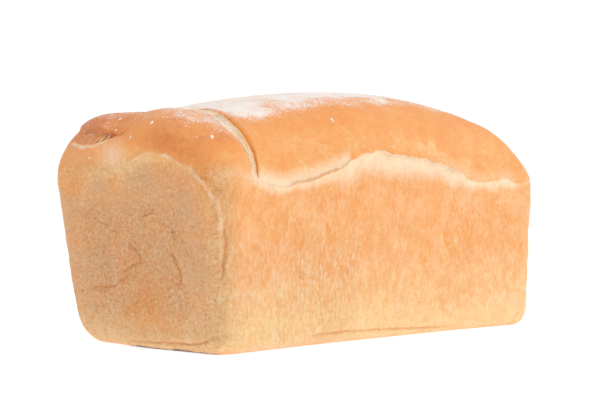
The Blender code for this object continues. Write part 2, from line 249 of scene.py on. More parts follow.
# How flat grains of flour and clumps are for their width, and how uneven a clump is.
GRAIN_FLATNESS = 0.55
CLUMP_WIDTH, CLUMP_FLATNESS, CLUMP_UNEVENNESS = 0.85, 0.62, 0.35

# The studio. A light has its name, place, width and power. The floor and the sky each have a glow for what they
# light, and another for how they look themselves.
FLOOR_REACH = 6.0
FLOOR_GREY = (0.45, 0.45, 0.45)
FLOOR_GLOW = (0.84, 0.85)
SKY_GLOW = (0.48, 1.05)
LIGHTS = (("key", (0.80, -1.05, 0.95), 0.8, 11.0), ("top", (-0.50, 0.05, 1.42), 1.2, 10.5))
LIGHT_AIM = (0.0, 0.0, 0.06)
CAMERA_PLACE = (-0.67687, -0.62500, 0.08418)
CAMERA_TURN, CAMERA_DIP = 42.8, 1.224  # in degrees, from +X and below level
CAMERA_LENS, CAMERA_SENSOR = 107.35, 36.0  # in millimetres


# ---------------------------------------------------------------------------------------------------------
# Sizes and colours that a user would change
# ---------------------------------------------------------------------------------------------------------


def length(name, description, default):
    return FloatProperty(name=name, description=description, default=default, unit="LENGTH", precision=4)


def colour(name, description, default):
    return FloatVectorProperty(
        name=name, description=description, default=default, subtype="COLOR", size=3, min=0.0, max=1.0
    )


class LoafShape(bpy.types.PropertyGroup):
    spacing: length("Spacing", "Distance between the crust's mesh points", 0.00168)
    split_depth: length("Split depth", "How deep the split across the crown is", 0.0029)
    tear_step: length("Tear step", "How far the crown sits back behind the wall at the tear line", 0.0011)
    flap_rise: length("Flap rise", "How far the rolled flap stands out of the left end", 0.0016)
    fold_depth: length("Fold depth", "How deep the fold under the back lobe is", 0.0034)
    wall_hollow: length("Wall hollow", "How far the walls sink in between their corners", 0.0012)


class LoafColours(bpy.types.PropertyGroup):
    crown: colour("Crown", "Golden orange of the crown", (0.85, 0.325, 0.078))
    dark: colour("Dark crust", "Red brown of the lobes and the darkest edges", (0.64, 0.165, 0.035))
    wall: colour("Wall", "Orange of the tin-baked walls", (0.85, 0.390, 0.125))
    worn: colour("Scuffed wall", "Peach of the places where the walls' skin is scuffed", (0.90, 0.530, 0.270))
    pale: colour("Pale crust", "Straw yellow of the corners and the foot", (0.89, 0.610, 0.295))
    torn: colour("Torn dough", "Cream of the torn bands and strands", (0.91, 0.690, 0.465))
    end: colour("End tan", "Dull tan of the wrinkled left end", (0.70, 0.398, 0.208))
    # The groove colour is painted shade at the bottom of tears, wrinkles, cracks and pits. The groove orange is a
    # painted glow on the shaded wall of the split's groove under the crown's lip. The foot brown is the dark baked
    # edge under the left end, together with its painted contact shadow.
    groove: colour("Groove", "Deep orange brown at the bottom of tears and wrinkles", (0.74, 0.275, 0.060))
    groove_glow: colour("Groove orange", "Clear orange of the groove under the crown's lip", (0.95, 0.360, 0.045))
    foot_burn_and_shadow: colour("Foot brown", "Darkest brown, in the crevice under the left end", (0.13, 0.060, 0.028))
    flour: colour("Flour", "White of the flour dust", (0.90, 0.880, 0.850))


# ---------------------------------------------------------------------------------------------------------
# The loaf's form
# ---------------------------------------------------------------------------------------------------------


def eased(share):
    """0 below 0, 1 above 1, and a smooth rise in between."""
    share = np.clip(share, 0.0, 1.0)
    return share * share * (3.0 - 2.0 * share)


def hump(distance, reach):
    """1 at no distance, falling to almost nothing at twice the reach."""
    return np.exp(-((distance / reach) ** 2))


def capped(value, cap, softness):
    """The smaller of value and cap, with a soft turn from one to the other."""
    return (value + cap - np.sqrt((value - cap) ** 2 + softness**2)) / 2.0


def between(pair, share):
    return pair[0] + (pair[1] - pair[0]) * share


def rounded(first, second, radius):
    """Distance to the meeting of two solids, from the distances to each, with a round edge of that radius."""
    a, b = first + radius, second + radius
    outside = np.hypot(np.maximum(a, 0.0), np.maximum(b, 0.0))
    return outside + np.minimum(np.maximum(a, b), 0.0) - radius


def line_height(points, x):
    xs, zs = zip(*points)
    return np.interp(x, xs, zs)


def soft_line_height(points, x, span=0.012):
    """A line's height without its corners: the mean over a short span."""
    offsets = np.linspace(-span, span, 7)
    return sum(line_height(points, x + offset) for offset in offsets) / len(offsets)


def tear_height(x, y, line=line_height):
    return np.where(y < 0.0, line(TEAR_FRONT, x), line(TEAR_BACK, x))


def end_distance(x, y, z):
    """Distance outside the two end walls."""
    up = capped(z / TIN_DEPTH, 1.08, 0.25)
    to_back = eased(0.5 + y / BASE_WIDTH)
    left = BASE_ENDS[0] - x - between(LEFT_END_LEAN, to_back) * up
    right = x - BASE_ENDS[1] - between(RIGHT_END_LEAN, to_back) * up
    return np.maximum(left, right)


def shell_distance(x, y, z):
    """Distance outside the long walls and the crown, which are one surface: upright below the tear line
    and a superellipse above it."""
    foot = tear_height(x, y, soft_line_height)
    rise = soft_line_height(CREST, x) - foot
    to_right = eased((x - BASE_ENDS[0]) / (BASE_ENDS[1] - BASE_ENDS[0]))
    lean = np.where(y < 0.0, between(FRONT_LEAN, to_right), between(BACK_LEAN, to_right))
    half_width = BASE_WIDTH / 2 + lean * np.minimum(z, foot) / TIN_DEPTH
    across = np.abs(y) / half_width
    above = np.maximum(z - foot, 0.0) / rise
    level = across**CROWN_POWER_ACROSS + above**CROWN_POWER_UP - 1.0
    slope_y = CROWN_POWER_ACROSS * across ** (CROWN_POWER_ACROSS - 1.0) / half_width
    slope_z = CROWN_POWER_UP * above ** (CROWN_POWER_UP - 1.0) / rise
    return level / np.maximum(np.hypot(slope_y, slope_z), 1.0 / half_width)


def base_distance(x, y, z):
    """Distance below the base, whose long edges lift a little halfway along."""
    near_side = eased((np.abs(y) - 0.7 * BASE_WIDTH / 2) / (0.3 * BASE_WIDTH / 2))
    halfway = eased(1.25 - np.abs(x) / BASE_ENDS[1])
    return BASE_EDGE_LIFT * near_side * halfway - z


def form_distance(points):
    """Distance outside the loaf's plain form, before its tears, folds and lobes."""
    x, y, z = points.T
    top_share = eased((z - TIN_DEPTH) / 0.020)
    crown_radius = between(CROWN_END_RADII, eased(0.5 + x / 0.1))
    end_radius = CORNER_RADIUS + (crown_radius - CORNER_RADIUS) * top_share
    body = rounded(end_distance(x, y, z), shell_distance(x, y, z), end_radius)
    back_left = eased(-x / 0.06 - 0.8) * eased(y / 0.04)
    return rounded(body, base_distance(x, y, z), between(BASE_EDGE_RADIUS, back_left))


def press_out(points):
    """Moves the block's points along rays from a core inside it, until each lies on the loaf's form."""
    starts = np.clip(points, CORE_LOW, CORE_HIGH)
    rays = points - starts
    inside, outside = np.zeros(len(points)), np.full(len(points), PRESS_REACH)
    for _ in range(PRESS_HALVINGS):
        middle = (inside + outside) / 2
        within = form_distance(starts + rays * middle[:, None]) < 0.0
        inside = np.where(within, middle, inside)
        outside = np.where(within, outside, middle)
    return starts + rays * inside[:, None]


def form_normals(points, step=0.0002):
    """Outward directions of the plain form, from how its distance changes along each axis."""
    slopes = [form_distance(points + step * axis) - form_distance(points - step * axis) for axis in np.eye(3)]
    normals = np.stack(slopes, axis=1)
    return normals / np.linalg.norm(normals, axis=1, keepdims=True)


def distance_to_path(points, path):
    """Distance to a path of straight runs, how far along it the nearest point is, from 0 to 1, and on which
    side of it, for a path in a plane."""
    path = np.array(path)
    best = np.full(len(points), np.inf)
    along = np.zeros(len(points))
    side = np.ones(len(points))
    for i in range(len(path) - 1):
        run = path[i + 1] - path[i]
        offset = points - path[i]
        share = np.clip(offset @ run / (run @ run), 0.0, 1.0)
        away = np.linalg.norm(offset - share[:, None] * run, axis=1)
        nearer = away < best
        best = np.where(nearer, away, best)
        along = np.where(nearer, (i + share) / (len(path) - 1), along)
        if path.shape[1] == 2:
            turn = run[0] * offset[:, 1] - run[1] * offset[:, 0]
            side = np.where(nearer, np.sign(turn), side)
    return best, along, side


def waves(points, span, octaves=1, seed=0.0, stretch=(1.0, 1.0, 1.0)):
    """Soft noise between about -1 and 1, whose swells are about span wide."""
    shift = Vector((3.1 + seed, 1.7 * seed, 7.4 - seed))
    scaled = points / (np.array(stretch) * span)
    if octaves == 1:
        return np.array([noise.noise(Vector(p) + shift) for p in scaled])
    return np.array([noise.fractal(Vector(p) + shift, 0.9, 2.1, octaves) for p in scaled])


# ---------------------------------------------------------------------------------------------------------
# The crust's relief and the marks that its finish reads
# ---------------------------------------------------------------------------------------------------------

# Bake is the browning, with painted shade added under the lobes, round the near arch and at the foot. Crease is
# painted shade in creases, cracks, the gash and the bottoms of wrinkles, and a painted glow in the split's groove.
# Torn also holds a painted highlight along the arches' rims, and straw holds a painted highlight on soft ridges.
MARKS = ("bake_and_shade", "torn", "flour", "straw", "tan", "flecks", "pitted", "crease_shade_and_glow")


class Crust:
    """The crust's points, the relief laid on them and their marks. Relief is how far a point moves out along its
    normal, and how far it slides in any direction. Shade and the inner arch shade are painted shade in the
    valleys round the near arch, and they add to its browning."""

    def __init__(self, points):
        self.points = points
        self.normals = form_normals(points)
        self.x, self.y, self.z = points.T
        self.out = np.zeros(len(points))
        self.slide = np.zeros((len(points), 3))
        self.shade = np.zeros(len(points))
        self.inner_arch_shade = np.zeros(len(points))
        self.marks = {name: np.zeros(len(points)) for name in MARKS}
        n_x, n_y, n_z = self.normals.T
        self.front = eased(-n_y * 2.0 - 0.5)
        self.sides = eased(np.abs(n_y) * 2.0 - 0.5)
        self.left_end = eased(-n_x * 2.0 - 0.4)
        self.right_end = eased(n_x * 2.0 - 0.5) * (1.0 - self.sides)
        self.up = np.maximum(n_z, 0.0)

    def mark(self, name, amount):
        self.marks[name] = np.maximum(self.marks[name], amount)

    def surface(self):
        return self.points + self.normals * self.out[:, None] + self.slide


def lay_slack(crust, shape):
    """Walls that sink in between their corners, and the unevenness of a hand-shaped dough."""
    x, y, z = crust.x, crust.y, crust.z
    mid_height = np.sin(np.pi * np.clip(z / 0.082, 0.0, 1.0)) ** 2
    along = np.cos(np.pi / 2 * np.clip(x / BASE_ENDS[1], -1, 1)) ** 2
    across = np.cos(np.pi / 2 * np.clip(y / (BASE_WIDTH / 2), -1, 1)) ** 2
    n_x, n_y, _ = np.abs(crust.normals.T)
    hollow = shape.wall_hollow * mid_height * (n_y * along + n_x * across)
    off_base = eased(z / 0.012)
    on_crown = eased((z - tear_height(x, y)) / 0.008)
    swells = 0.8 * MM * waves(crust.points, 0.034)
    dimples = 0.62 * MM * waves(crust.points, 0.011, 3, 5.0, (1.0, 1.0, 1.5)) * (1.0 - 0.65 * on_crown)
    puckers = 0.20 * MM * waves(crust.points, 0.0034, 2, 9.0, (1.0, 1.0, 1.6)) * (1.0 - 0.7 * on_crown)
    crust.out += off_base * (swells + dimples + puckers - hollow)


def lay_tear(crust, shape):
    """The tear line. Left of the step the wall's lip overlaps the crown; right of it the crown's baked edge
    overhangs a pale torn band, whose lower side runs out softly into the wall."""
    x, y, z = crust.x, crust.y, crust.z
    ragged = MM * (0.9 * waves(crust.points, 0.008, 3, 2.0, (1.0, 4.0, 4.0))
                   + 0.35 * waves(crust.points, 0.0018, 2, 3.0, (1.0, 3.0, 3.0)))
    near_ends = between((0.25, 1.0), eased((0.104 - np.abs(x + 0.006)) / 0.020))
    shreds = waves(crust.points, 0.0016, 2, 4.0, (1.0, 1.0, 2.6))
    band_depth = line_height(BAND_DEPTH, x) + 2.2 * MM * waves(crust.points, 0.012, 2, 6.0, (1.0, 9.0, 9.0))
    band_depth = np.maximum(band_depth, 2.0 * MM)
    for share, height in (
        (crust.sides * near_ends, tear_height(x, y)),
        (crust.right_end * 0.25, TEAR_RIGHT_END_HEIGHT + 1.5 * MM * waves(crust.points, 0.02, 1, 8.0)),
    ):
        above = z - height - ragged
        below = np.maximum(-above, 0.0)
        above = np.maximum(above, 0.0)
        wall_over = np.where(y < 0.0, 1.0 - eased((x + 0.044) / 0.006) * eased((0.054 - x) / 0.008), 0.7)
        wall_over = wall_over * np.where((y < 0.0) & (x > 0.0), 0.45, 1.0)
        crown_over = 1.0 - wall_over

        passed = eased((above - below) / (0.9 * MM) + 0.5)
        back = shape.tear_step * between((0.1, 1.0), eased((x + 0.088) / 0.008)) * np.exp(-above / 0.007) * passed
        lip = 0.5 * MM * np.exp(-below / 0.004) * (1.0 - passed)
        crust.out += share * wall_over * (lip - back)
        crust.slide[:, 2] += share * wall_over * 0.25 * MM * np.exp(-below / 0.002) * (1.0 - passed)

        in_band = (1.0 - passed) * (1.0 - eased(below / (1.5 * band_depth)))
        edge = 0.8 * MM * np.exp(-above / 0.005) * passed
        recess = 0.9 * MM * in_band * eased(below / (0.9 * MM))
        crust.out += share * crown_over * (edge - recess)
        crust.slide[:, 2] -= share * crown_over * 0.7 * MM * np.exp(-above / 0.0022) * passed
        crust.out += share * in_band * 0.20 * MM * shreds

        pale = in_band * (1.0 - 0.25 * wall_over)
        above_line = wall_over * passed * np.exp(-((above / 0.0065) ** 2))
        faded = crown_over * passed * 0.42 * np.exp(-((above / 0.0060) ** 2)) * eased((x - 0.010) / 0.030)
        crust.mark("torn", eased(share * 2.0) * np.maximum(np.maximum(pale, faded), 0.85 * above_line))
        # Painted shade: a thin dark line in the tear's crease where the wall's lip overlaps the crown, and a faint
        # one along the whole tear line.
        line = wall_over * eased((-0.046 - x) / 0.004) * eased((x + 0.082) / 0.008)
        crust.mark("crease_shade_and_glow", eased(share * 2.0) * (0.04 * wall_over + 0.6 * line) * hump(above - below, 0.6 * MM))


def lay_split(crust, shape):
    """The split: two torn ridges of dough with a crack between them, and the groove under the crown's lip."""
    x, y, z = crust.x, crust.y, crust.z
    wander = MM * (0.8 * waves(crust.points, 0.012, 2, 11.0, (9.0, 1.0, 1.0))
                   + 0.3 * waves(crust.points, 0.0025, 2, 12.0, (9.0, 1.0, 1.0)))
    away = x - line_height(SPLIT_LINE, y) - wander
    opened = eased((z - SPLIT_FOOT_HEIGHT) / 0.006) * eased((SPLIT_BACK_END_Y - y) / 0.014)
    hole = hump(y + 0.013, 0.006) + 0.6 * hump(y + 0.038, 0.008)
    narrow = between((0.55, 1.0), eased((z - 0.082) / 0.020))
    reach = np.where(away < 0.0, narrow * (1.0 + 0.45 * hole), 1.0)
    depth = shape.split_depth * between((0.6, 1.0), eased((z - 0.080) / 0.014)) * (1.0 + 0.5 * hole)
    section = np.interp(away / (reach * MM), *zip(*SPLIT_SECTION))
    broken = 0.5 + 0.9 * waves(crust.points, 0.007, 1, 14.0)
    section = np.where((away < -3.0 * MM * reach) & (section < 0.0), section * np.clip(broken, 0.1, 1.0), section)
    strands = waves(crust.points, 0.0009, 2, 13.0, (6.0, 1.0, 1.0))
    in_flank = eased((away / reach + 9.0 * MM) / (2.5 * MM)) * (away < 0.0)
    crust.out += opened * (section * depth + 0.16 * MM * strands * in_flank)
    crust.out -= opened * 0.9 * MM * hump(away, 9.0 * MM)
    crust.slide[:, 0] -= opened * 0.7 * MM * np.exp(-np.maximum(away, 0.0) / 0.0020) * (away > -0.1 * MM)
    ridges = hump(away / reach + 2.8 * MM, 0.8 * MM) + 0.9 * hump(away / reach + 5.6 * MM, 0.9 * MM)
    crust.mark("torn", opened * np.minimum(0.35 * in_flank + 0.8 * ridges, 1.0))
    # Painted shade in the crack between the ridges, and a painted glow in the groove under the crown's lip, where
    # the mark passes 0.9 and the finish turns its shaded wall clear orange.
    crack = hump(away / reach + 4.0 * MM, 0.45 * MM) * np.clip(broken, 0.0, 1.0)
    groove_width = between((0.8, 1.7), eased((z - 0.084) / 0.020)) * MM
    crust.mark("crease_shade_and_glow", opened * np.maximum(2.4 * hump(away + 0.5 * MM, groove_width), 0.5 * crack))


def lay_fold(crust, shape):
    """The gash that opens under the back lobe, and the crease that runs on from it over the crown."""
    y, z = crust.y, crust.z
    low = line_height(GASH_LOW, y) + 0.35 * MM * waves(crust.points, 0.004, 2, 17.0)
    high = line_height(GASH_HIGH, y) + 0.35 * MM * waves(crust.points, 0.003, 2, 18.0)
    facing = eased(-crust.normals[:, 0] * 3.0 - 0.2)
    opened = facing * eased((y - 0.010) / 0.006) * (0.10 + 0.90 * eased((0.044 - y) / 0.010))
    opened = opened * eased((0.062 - y) / 0.010)
    up = (z - low) / np.maximum(high - low, 0.5 * MM)
    inside = eased(up / 0.55) * (1.0 - eased((up - 1.0) / 0.16))
    over = np.maximum(z - high, 0.0)
    crust.out -= opened * shape.fold_depth * inside
    crust.out += opened * eased((up - 1.0) / 0.16) * 1.0 * MM * np.exp(-over / 0.004)
    crust.slide[:, 2] -= opened * eased((up - 0.9) / 0.2) * 0.5 * MM * np.exp(-over / 0.004)
    crust.out += opened * 0.5 * MM * hump(z - low + 0.8 * MM, 1.2 * MM)
    shreds = waves(crust.points, 0.0013, 2, 19.0, (1.0, 1.0, 9.0))
    crust.out += opened * 0.45 * MM * shreds * inside
    crust.mark("torn", opened * 0.65 * hump(z - low + 0.3 * MM, 0.8 * MM))
    crust.mark("torn", opened * 0.50 * inside * eased(0.5 + 1.2 * shreds))
    # Painted shade inside the gash.
    crust.mark("crease_shade_and_glow", opened * 0.60 * inside * eased(0.9 - 0.8 * shreds))

    away, along, _ = distance_to_path(crust.points, FOLD_CREASE)
    run = eased(along * 9.0) * (1.0 - 0.75 * along)
    crust.out -= run * 1.7 * MM * hump(away, 1.5 * MM)
    # Painted shade along the bottom of the crease.
    crust.mark("crease_shade_and_glow", run * 0.5 * hump(away, 0.8 * MM))
    beside = np.linalg.norm(crust.points - closest_on(crust.points, FOLD_CREASE) - (0.0, -0.0028, 0.001), axis=1)
    crust.out += run * 0.6 * MM * hump(beside, 1.8 * MM)
    crust.mark("flour", run * 0.75 * hump(beside, 1.9 * MM))
    for centre, reach, rise in LOBES:
        crust.out += rise * hump(np.linalg.norm(crust.points - centre, axis=1), reach)


def lay_flap(crust, shape):
    """The end of the rolled dough: two arches that stand a little proud of the left end, under a soft valley. A
    painted highlight runs along their rims, and painted shade lies in the valleys inside and above the near arch's
    rim.
    """
    flat = crust.points[:, 1:] + 0.7 * MM * waves(crust.points, 0.007, 3, 21.0)[:, None]
    for rim, rise in ((NEAR_ARCH, 1.0), (FAR_ARCH, 0.55)):
        away, along, side = distance_to_path(flat, rim)
        inward = away * side
        ends = eased(along * 9.0) * eased((1.0 - along) * 5.0)
        beyond = eased(1.6 - away / 0.010)
        share = crust.left_end * ends * rise
        step = eased(inward / (2.2 * MM) + 0.5)
        crust.out += share * shape.flap_rise * step * np.exp(-np.maximum(inward, 0.0) / 0.011)
        crust.out -= share * 0.3 * MM * hump(inward + 2.2 * MM, 2.6 * MM) * beyond
        # A painted highlight along each arch's rim, carried in the torn mark.
        faint = np.clip(0.72 + 0.7 * waves(crust.points, 0.009, 2, 22.0), 0.0, 1.0)
        rim_light = hump(inward - 0.3 * MM, 0.9 * MM) * faint
        crust.mark("torn", share * 0.75 * rim_light)
        crust.mark("straw", share * 0.60 * hump(inward - 2.5 * MM, 3.0 * MM))
        crust.mark("tan", crust.left_end * eased(inward / (7.0 * MM) + 0.20) * (crust.z > 0.030))
        # Painted shade: darker, yellower browning in the valley inside the near arch's rim, and darker browning in
        # the valley above it.
        crust.inner_arch_shade += share * eased(-(crust.y + 0.010) / 0.015) * hump(inward - 3.5 * MM, 6.0 * MM)
        crust.shade += share * eased(-(crust.y + 0.004) / 0.014) * hump(inward + 5.0 * MM, 4.2 * MM)
    overhang = crust.left_end * hump(np.hypot((crust.y + 0.026) / 1.7, crust.z - 0.1000), 0.0095)
    crust.out += 1.8 * MM * overhang


def lay_wrinkles(crust):
    """Wrinkles pressed in where the dough folded against the tin, the low folds round the foot, blisters, and the
    crumpled and pitted skin of the left end."""
    ragged = 0.32 * MM * waves(crust.points, 0.004, 2, 25.0)
    for planes, facing, wrinkles in (
        ((1, 2), crust.left_end, END_WRINKLES),
        ((0, 2), crust.front, FRONT_WRINKLES),
    ):
        flat = crust.points[:, planes]
        for path, depth, half_width, swell_side, shade in wrinkles:
            away, along, side = distance_to_path(flat, path)
            away = away * side + ragged
            ends = eased(along * 5.0) * eased((1.0 - along) * 5.0)
            groove = hump(away, half_width * MM) * (1.3 if half_width < 0.55 else 1.0)
            swell = hump(away - swell_side * 1.9 * MM, 1.5 * MM)
            crust.out += facing * ends * MM * depth * (0.5 * swell - groove)
            # Painted shade at the bottom of a wrinkle, and a painted highlight along a soft ridge.
            if depth > 0.0:
                crust.mark("crease_shade_and_glow", facing * ends * groove * shade)
            else:
                crust.mark("straw", facing * ends * groove * 0.35)
    for centre, reach, rise in BLISTERS:
        blister = hump(np.linalg.norm(crust.points - centre, axis=1), reach)
        crust.out += rise * blister
        crust.mark("torn", 0.8 * blister)
    y, z = crust.y, crust.z
    crumpled = crust.left_end * eased((0.076 - z) / 0.014) * eased((z - 0.007) / 0.010)
    crumpled = crumpled * eased((0.044 - np.abs(y)) / 0.014)
    ridges = 1.0 - np.abs(waves(crust.points, 0.0062, 3, 29.0))
    crust.out += crumpled * 0.34 * MM * (ridges**4 - 0.4)
    crust.out += crumpled * 0.22 * MM * waves(crust.points, 0.0019, 1, 31.0)
    scarred = crust.front * eased((-crust.x - 0.026) / 0.022) * eased((0.064 - z) / 0.030)
    crust.mark("pitted", crumpled)
    crust.mark("pitted", 0.65 * crust.left_end * eased((0.092 - z) / 0.010))
    crust.mark("pitted", 0.15 * scarred)


def lay_foot(crust):
    """The pale strip round the foot, where the base's skin wraps up into the walls."""
    x, y, z = crust.x, crust.y, crust.z
    end_line, front_line = line_height(END_FOOT, y), line_height(FRONT_FOOT, x)
    for facing, line in ((crust.left_end, end_line), (crust.front, front_line)):
        strip = facing * eased((line - z) / (0.8 * MM))
        crust.out += strip * 0.25 * MM
        crust.mark("straw", strip * 0.75)


def lay_browning(crust):
    """How far each place is baked, with painted shade added to it, and where straw yellow or dull tan shows instead
    of orange.
    """
    x, y, z = crust.x, crust.y, crust.z
    height = tear_height(x, y)
    on_crown = eased((z - height) / 0.005)
    wall = 0.50 + 0.12 * eased((z - 0.020) / 0.035) - 0.16 * eased((0.034 - z) / 0.026)
    above = np.maximum(z - height, 0.0)
    crown = 0.50 + 0.14 * eased(above / 0.013) + 0.14 * eased((z - 0.094) / 0.016)
    left_lobes = eased((-x - 0.096) / 0.010) * eased((z - 0.088) / 0.010)
    back_lobe = hump(np.linalg.norm(crust.points - (-0.122, 0.034, 0.104), axis=1), 0.020)
    # Painted shade under the bulging lobes, on the left end.
    shade_under_lobes = crust.left_end * hump(np.hypot((y + 0.030) / 1.6, z - 0.0925), 0.0065)
    bake_and_shade = wall + (crown - wall) * on_crown + 0.24 * left_lobes + 0.42 * back_lobe + 0.05 * shade_under_lobes
    cheek = crust.left_end * eased((y + 0.016) / 0.012) * hump(z - 0.083, 0.012)
    # The shade mark is painted shade in the valley above the near arch. The cheek is paler crust.
    bake_and_shade = bake_and_shade + 0.30 * crust.shade - 0.14 * cheek
    scorched = crust.left_end * hump(np.hypot((y + 0.008) / 1.7, z - 0.0170), 0.0125)
    glow = crust.front * hump(np.hypot((x - 0.045) / 2.4, z - 0.0190), 0.0100)
    inner_arch_shade = np.minimum(crust.inner_arch_shade, 1.0)
    # The inner arch shade is painted shade, and the darkening in the lowest 3.5 mm is a painted contact shadow.
    bake_and_shade = bake_and_shade + 0.20 * inner_arch_shade + 0.22 * scorched + 0.10 * glow + 0.35 * eased((0.0035 - z) / 0.003)
    crust.marks["bake_and_shade"] = np.clip(bake_and_shade, 0.0, 1.3)
    n_x, n_y, _ = np.abs(crust.normals.T)
    corner = eased((np.minimum(n_x, n_y) - 0.25) / 0.35) * eased((0.090 - z) / 0.015)
    foot = 0.75 * eased((0.024 - z) / 0.020) * eased((z + 0.001) / 0.004)
    foot = foot + 0.40 * crust.front * eased((0.044 - z) / 0.018)
    crust.mark("straw", np.maximum(corner * 0.6, foot) * (1.0 - scorched) * (1.0 - 0.6 * glow))
    rubbed = np.clip(0.5 + 0.9 * waves(crust.points, 0.016, 3, 35.0), 0.0, 1.0)
    crust.mark("torn", 0.42 * corner * rubbed * np.maximum(x > 0.0, y > 0.0))
    far_cheek = crust.left_end * hump(np.hypot(y - 0.010, (z - 0.089) * 1.3), 0.013)
    crust.mark("torn", 0.55 * far_cheek)
    tan_patch = 0.5 * hump(np.hypot(y - 0.034, z - 0.086), 0.014)
    crust.mark("tan", crust.left_end * np.maximum(eased((0.078 - z) / 0.012), tan_patch))
    crust.marks["tan"] *= (1.0 - 0.75 * scorched) * (1.0 - 0.55 * inner_arch_shade)
    low_left = eased((0.066 - z) / 0.030) * eased((-x + 0.005) / 0.060)
    # Painted contact shadow with a dark baked edge: a ragged strip a millimetre or two high under the left end
    # turns the darkest brown.
    dark_foot_height = MM * (1.6 + 1.1 * waves(crust.points, 0.006, 2, 33.0))
    dark_foot_height = dark_foot_height * eased((0.036 - np.abs(y + 0.012)) / 0.012)
    burnt_and_shadowed_foot = (x < -0.100) * eased((dark_foot_height - z) / (0.5 * MM))
    crust.marks["bake_and_shade"] += 2.2 * burnt_and_shadowed_foot
    for name in ("tan", "straw", "torn"):
        crust.marks[name] *= 1.0 - burnt_and_shadowed_foot
    crust.mark("flecks", crust.sides * (0.45 + 0.55 * low_left) * eased((height - z) / 0.010))


def lay_flour(crust):
    """Dust lies thickest along the crest, and thins out quickly down the crown."""
    x, y = crust.x, crust.y
    drift = 0.5 + 0.5 * waves(crust.points, 0.022, 2, 41.0)
    crest = eased((crust.up - 0.925) / 0.070) * eased((x + 0.094) / 0.012) * eased((0.114 - x) / 0.044)
    skirt = 0.50 * eased((crust.up - 0.86) / 0.08) * eased((x + 0.094) / 0.012) * eased((0.120 - x) / 0.030)
    veil = 0.42 * eased((crust.up - 0.70) / 0.25) * eased((0.110 - x) / 0.030)
    drifts = hump(np.linalg.norm(crust.points - (-0.082, -0.026, 0.112), axis=1), 0.013)
    lobes = 0.42 * eased((crust.up - 0.62) / 0.35) * eased((-x - 0.096) / 0.008) * eased((0.022 - y) / 0.020)
    speckled = 0.36 * hump(np.linalg.norm(crust.points - (-0.118, 0.034, 0.109), axis=1), 0.022)
    total = np.maximum(np.maximum(crest, lobes), np.maximum(skirt, speckled))
    total = total * (0.55 + 0.55 * drift) + veil * drift + 0.9 * drifts
    crust.mark("flour", np.clip(total, 0.0, 1.0))


def closest_on(points, path):
    """The nearest place to each point on a path of straight runs."""
    path = np.array(path)
    best, nearest = np.full(len(points), np.inf), np.zeros_like(points)
    for start, end in zip(path[:-1], path[1:]):
        run = end - start
        share = np.clip((points - start) @ run / (run @ run), 0.0, 1.0)
        place = start + share[:, None] * run
        away = np.linalg.norm(points - place, axis=1)
        nearest = np.where((away < best)[:, None], place, nearest)
        best = np.minimum(best, away)
    return nearest


def detail_wanted(points, margin):
    """Where the mesh needs closer points: round the split, the fold, the tear line and the wrinkles."""
    x, y, z = points.T
    lip = x - line_height(SPLIT_LINE, y)
    near_split = (lip > -0.0095 - margin) & (lip < 0.0030 + margin) & (z > 0.075 - margin) & (y < 0.046)
    near_gash = (x < -0.105) & (y > 0.006) & (z > 0.0915 - margin) & (z < 0.1015 + margin)
    near_crease = distance_to_path(points, FOLD_CREASE)[0] < 0.0030 + margin
    tear = z - tear_height(x, y)
    near_tear = (tear > -0.0022 - margin) & (tear < 0.0018 + margin) & (y < 0.0) & (x > -0.110)
    wanted = near_split | near_gash | near_crease | near_tear
    on_left_end = x < -0.112
    for path, *_ in (*END_WRINKLES, (NEAR_ARCH,), (FAR_ARCH,)):
        wanted |= on_left_end & (distance_to_path(points[:, 1:], path)[0] < 0.0015 + margin)
    on_front = (y < -0.045) & (x > -0.105)
    for path, *_ in FRONT_WRINKLES:
        wanted |= on_front & (distance_to_path(points[:, ::2], path)[0] < 0.0010 + margin)
    return wanted


def box_lattice(spacing):
    """Points and quads of a box cut into an even lattice of that spacing."""
    low, high = np.array(BLOCK_LOW), np.array(BLOCK_HIGH)
    counts = np.round((high - low) / spacing).astype(int) + 1
    quads = []
    for axis in range(3):
        u, v = [other for other in range(3) if other != axis]
        i, j = np.meshgrid(np.arange(counts[u] - 1), np.arange(counts[v] - 1), indexing="ij")
        for end in (0, counts[axis] - 1):
            quad = np.full((i.size, 4, 3), end)
            for k, (di, dj) in enumerate(((0, 0), (1, 0), (1, 1), (0, 1))):
                quad[:, k, u] = i.ravel() + di
                quad[:, k, v] = j.ravel() + dj
            outward = (end == 0) == (axis == 1)
            quads.append(quad if outward else quad[:, ::-1])
    corners = np.concatenate(quads).reshape(-1, 3)
    keys, faces = np.unique(corners @ (1, counts[0], counts[0] * counts[1]), return_inverse=True)
    cells = np.stack([keys % counts[0], keys // counts[0] % counts[1], keys // (counts[0] * counts[1])], axis=1)
    return low + cells * (high - low) / (counts - 1), faces.reshape(-1, 4)


def refined(points, faces):
    """The lattice as a mesh, with its quads split in four, and in four again, where detail is wanted."""
    mesh = bpy.data.meshes.new("loaf_crust")
    mesh.from_pydata(points.tolist(), [], faces.tolist())
    shell = bmesh.new()
    shell.from_mesh(mesh)
    for margin in (0.0030, 0.0):
        points = np.array([v.co for v in shell.verts])
        pressed = press_out(points)
        wanted = detail_wanted(pressed, margin)
        if margin:
            wanted |= (pressed[:, 0] < -0.115) & (pressed[:, 2] > 0.010)
        shell.verts.index_update()
        edges = {
            edge for face in shell.faces if len(face.verts) == 4 and all(wanted[v.index] for v in face.verts)
            for edge in face.edges
        }
        bmesh.ops.subdivide_edges(shell, edges=list(edges), cuts=1, use_grid_fill=True)
    shell.to_mesh(mesh)
    shell.free()
    return mesh


def read_points(mesh):
    points = np.empty(len(mesh.vertices) * 3)
    mesh.vertices.foreach_get("co", points)
    return points.reshape(-1, 3)


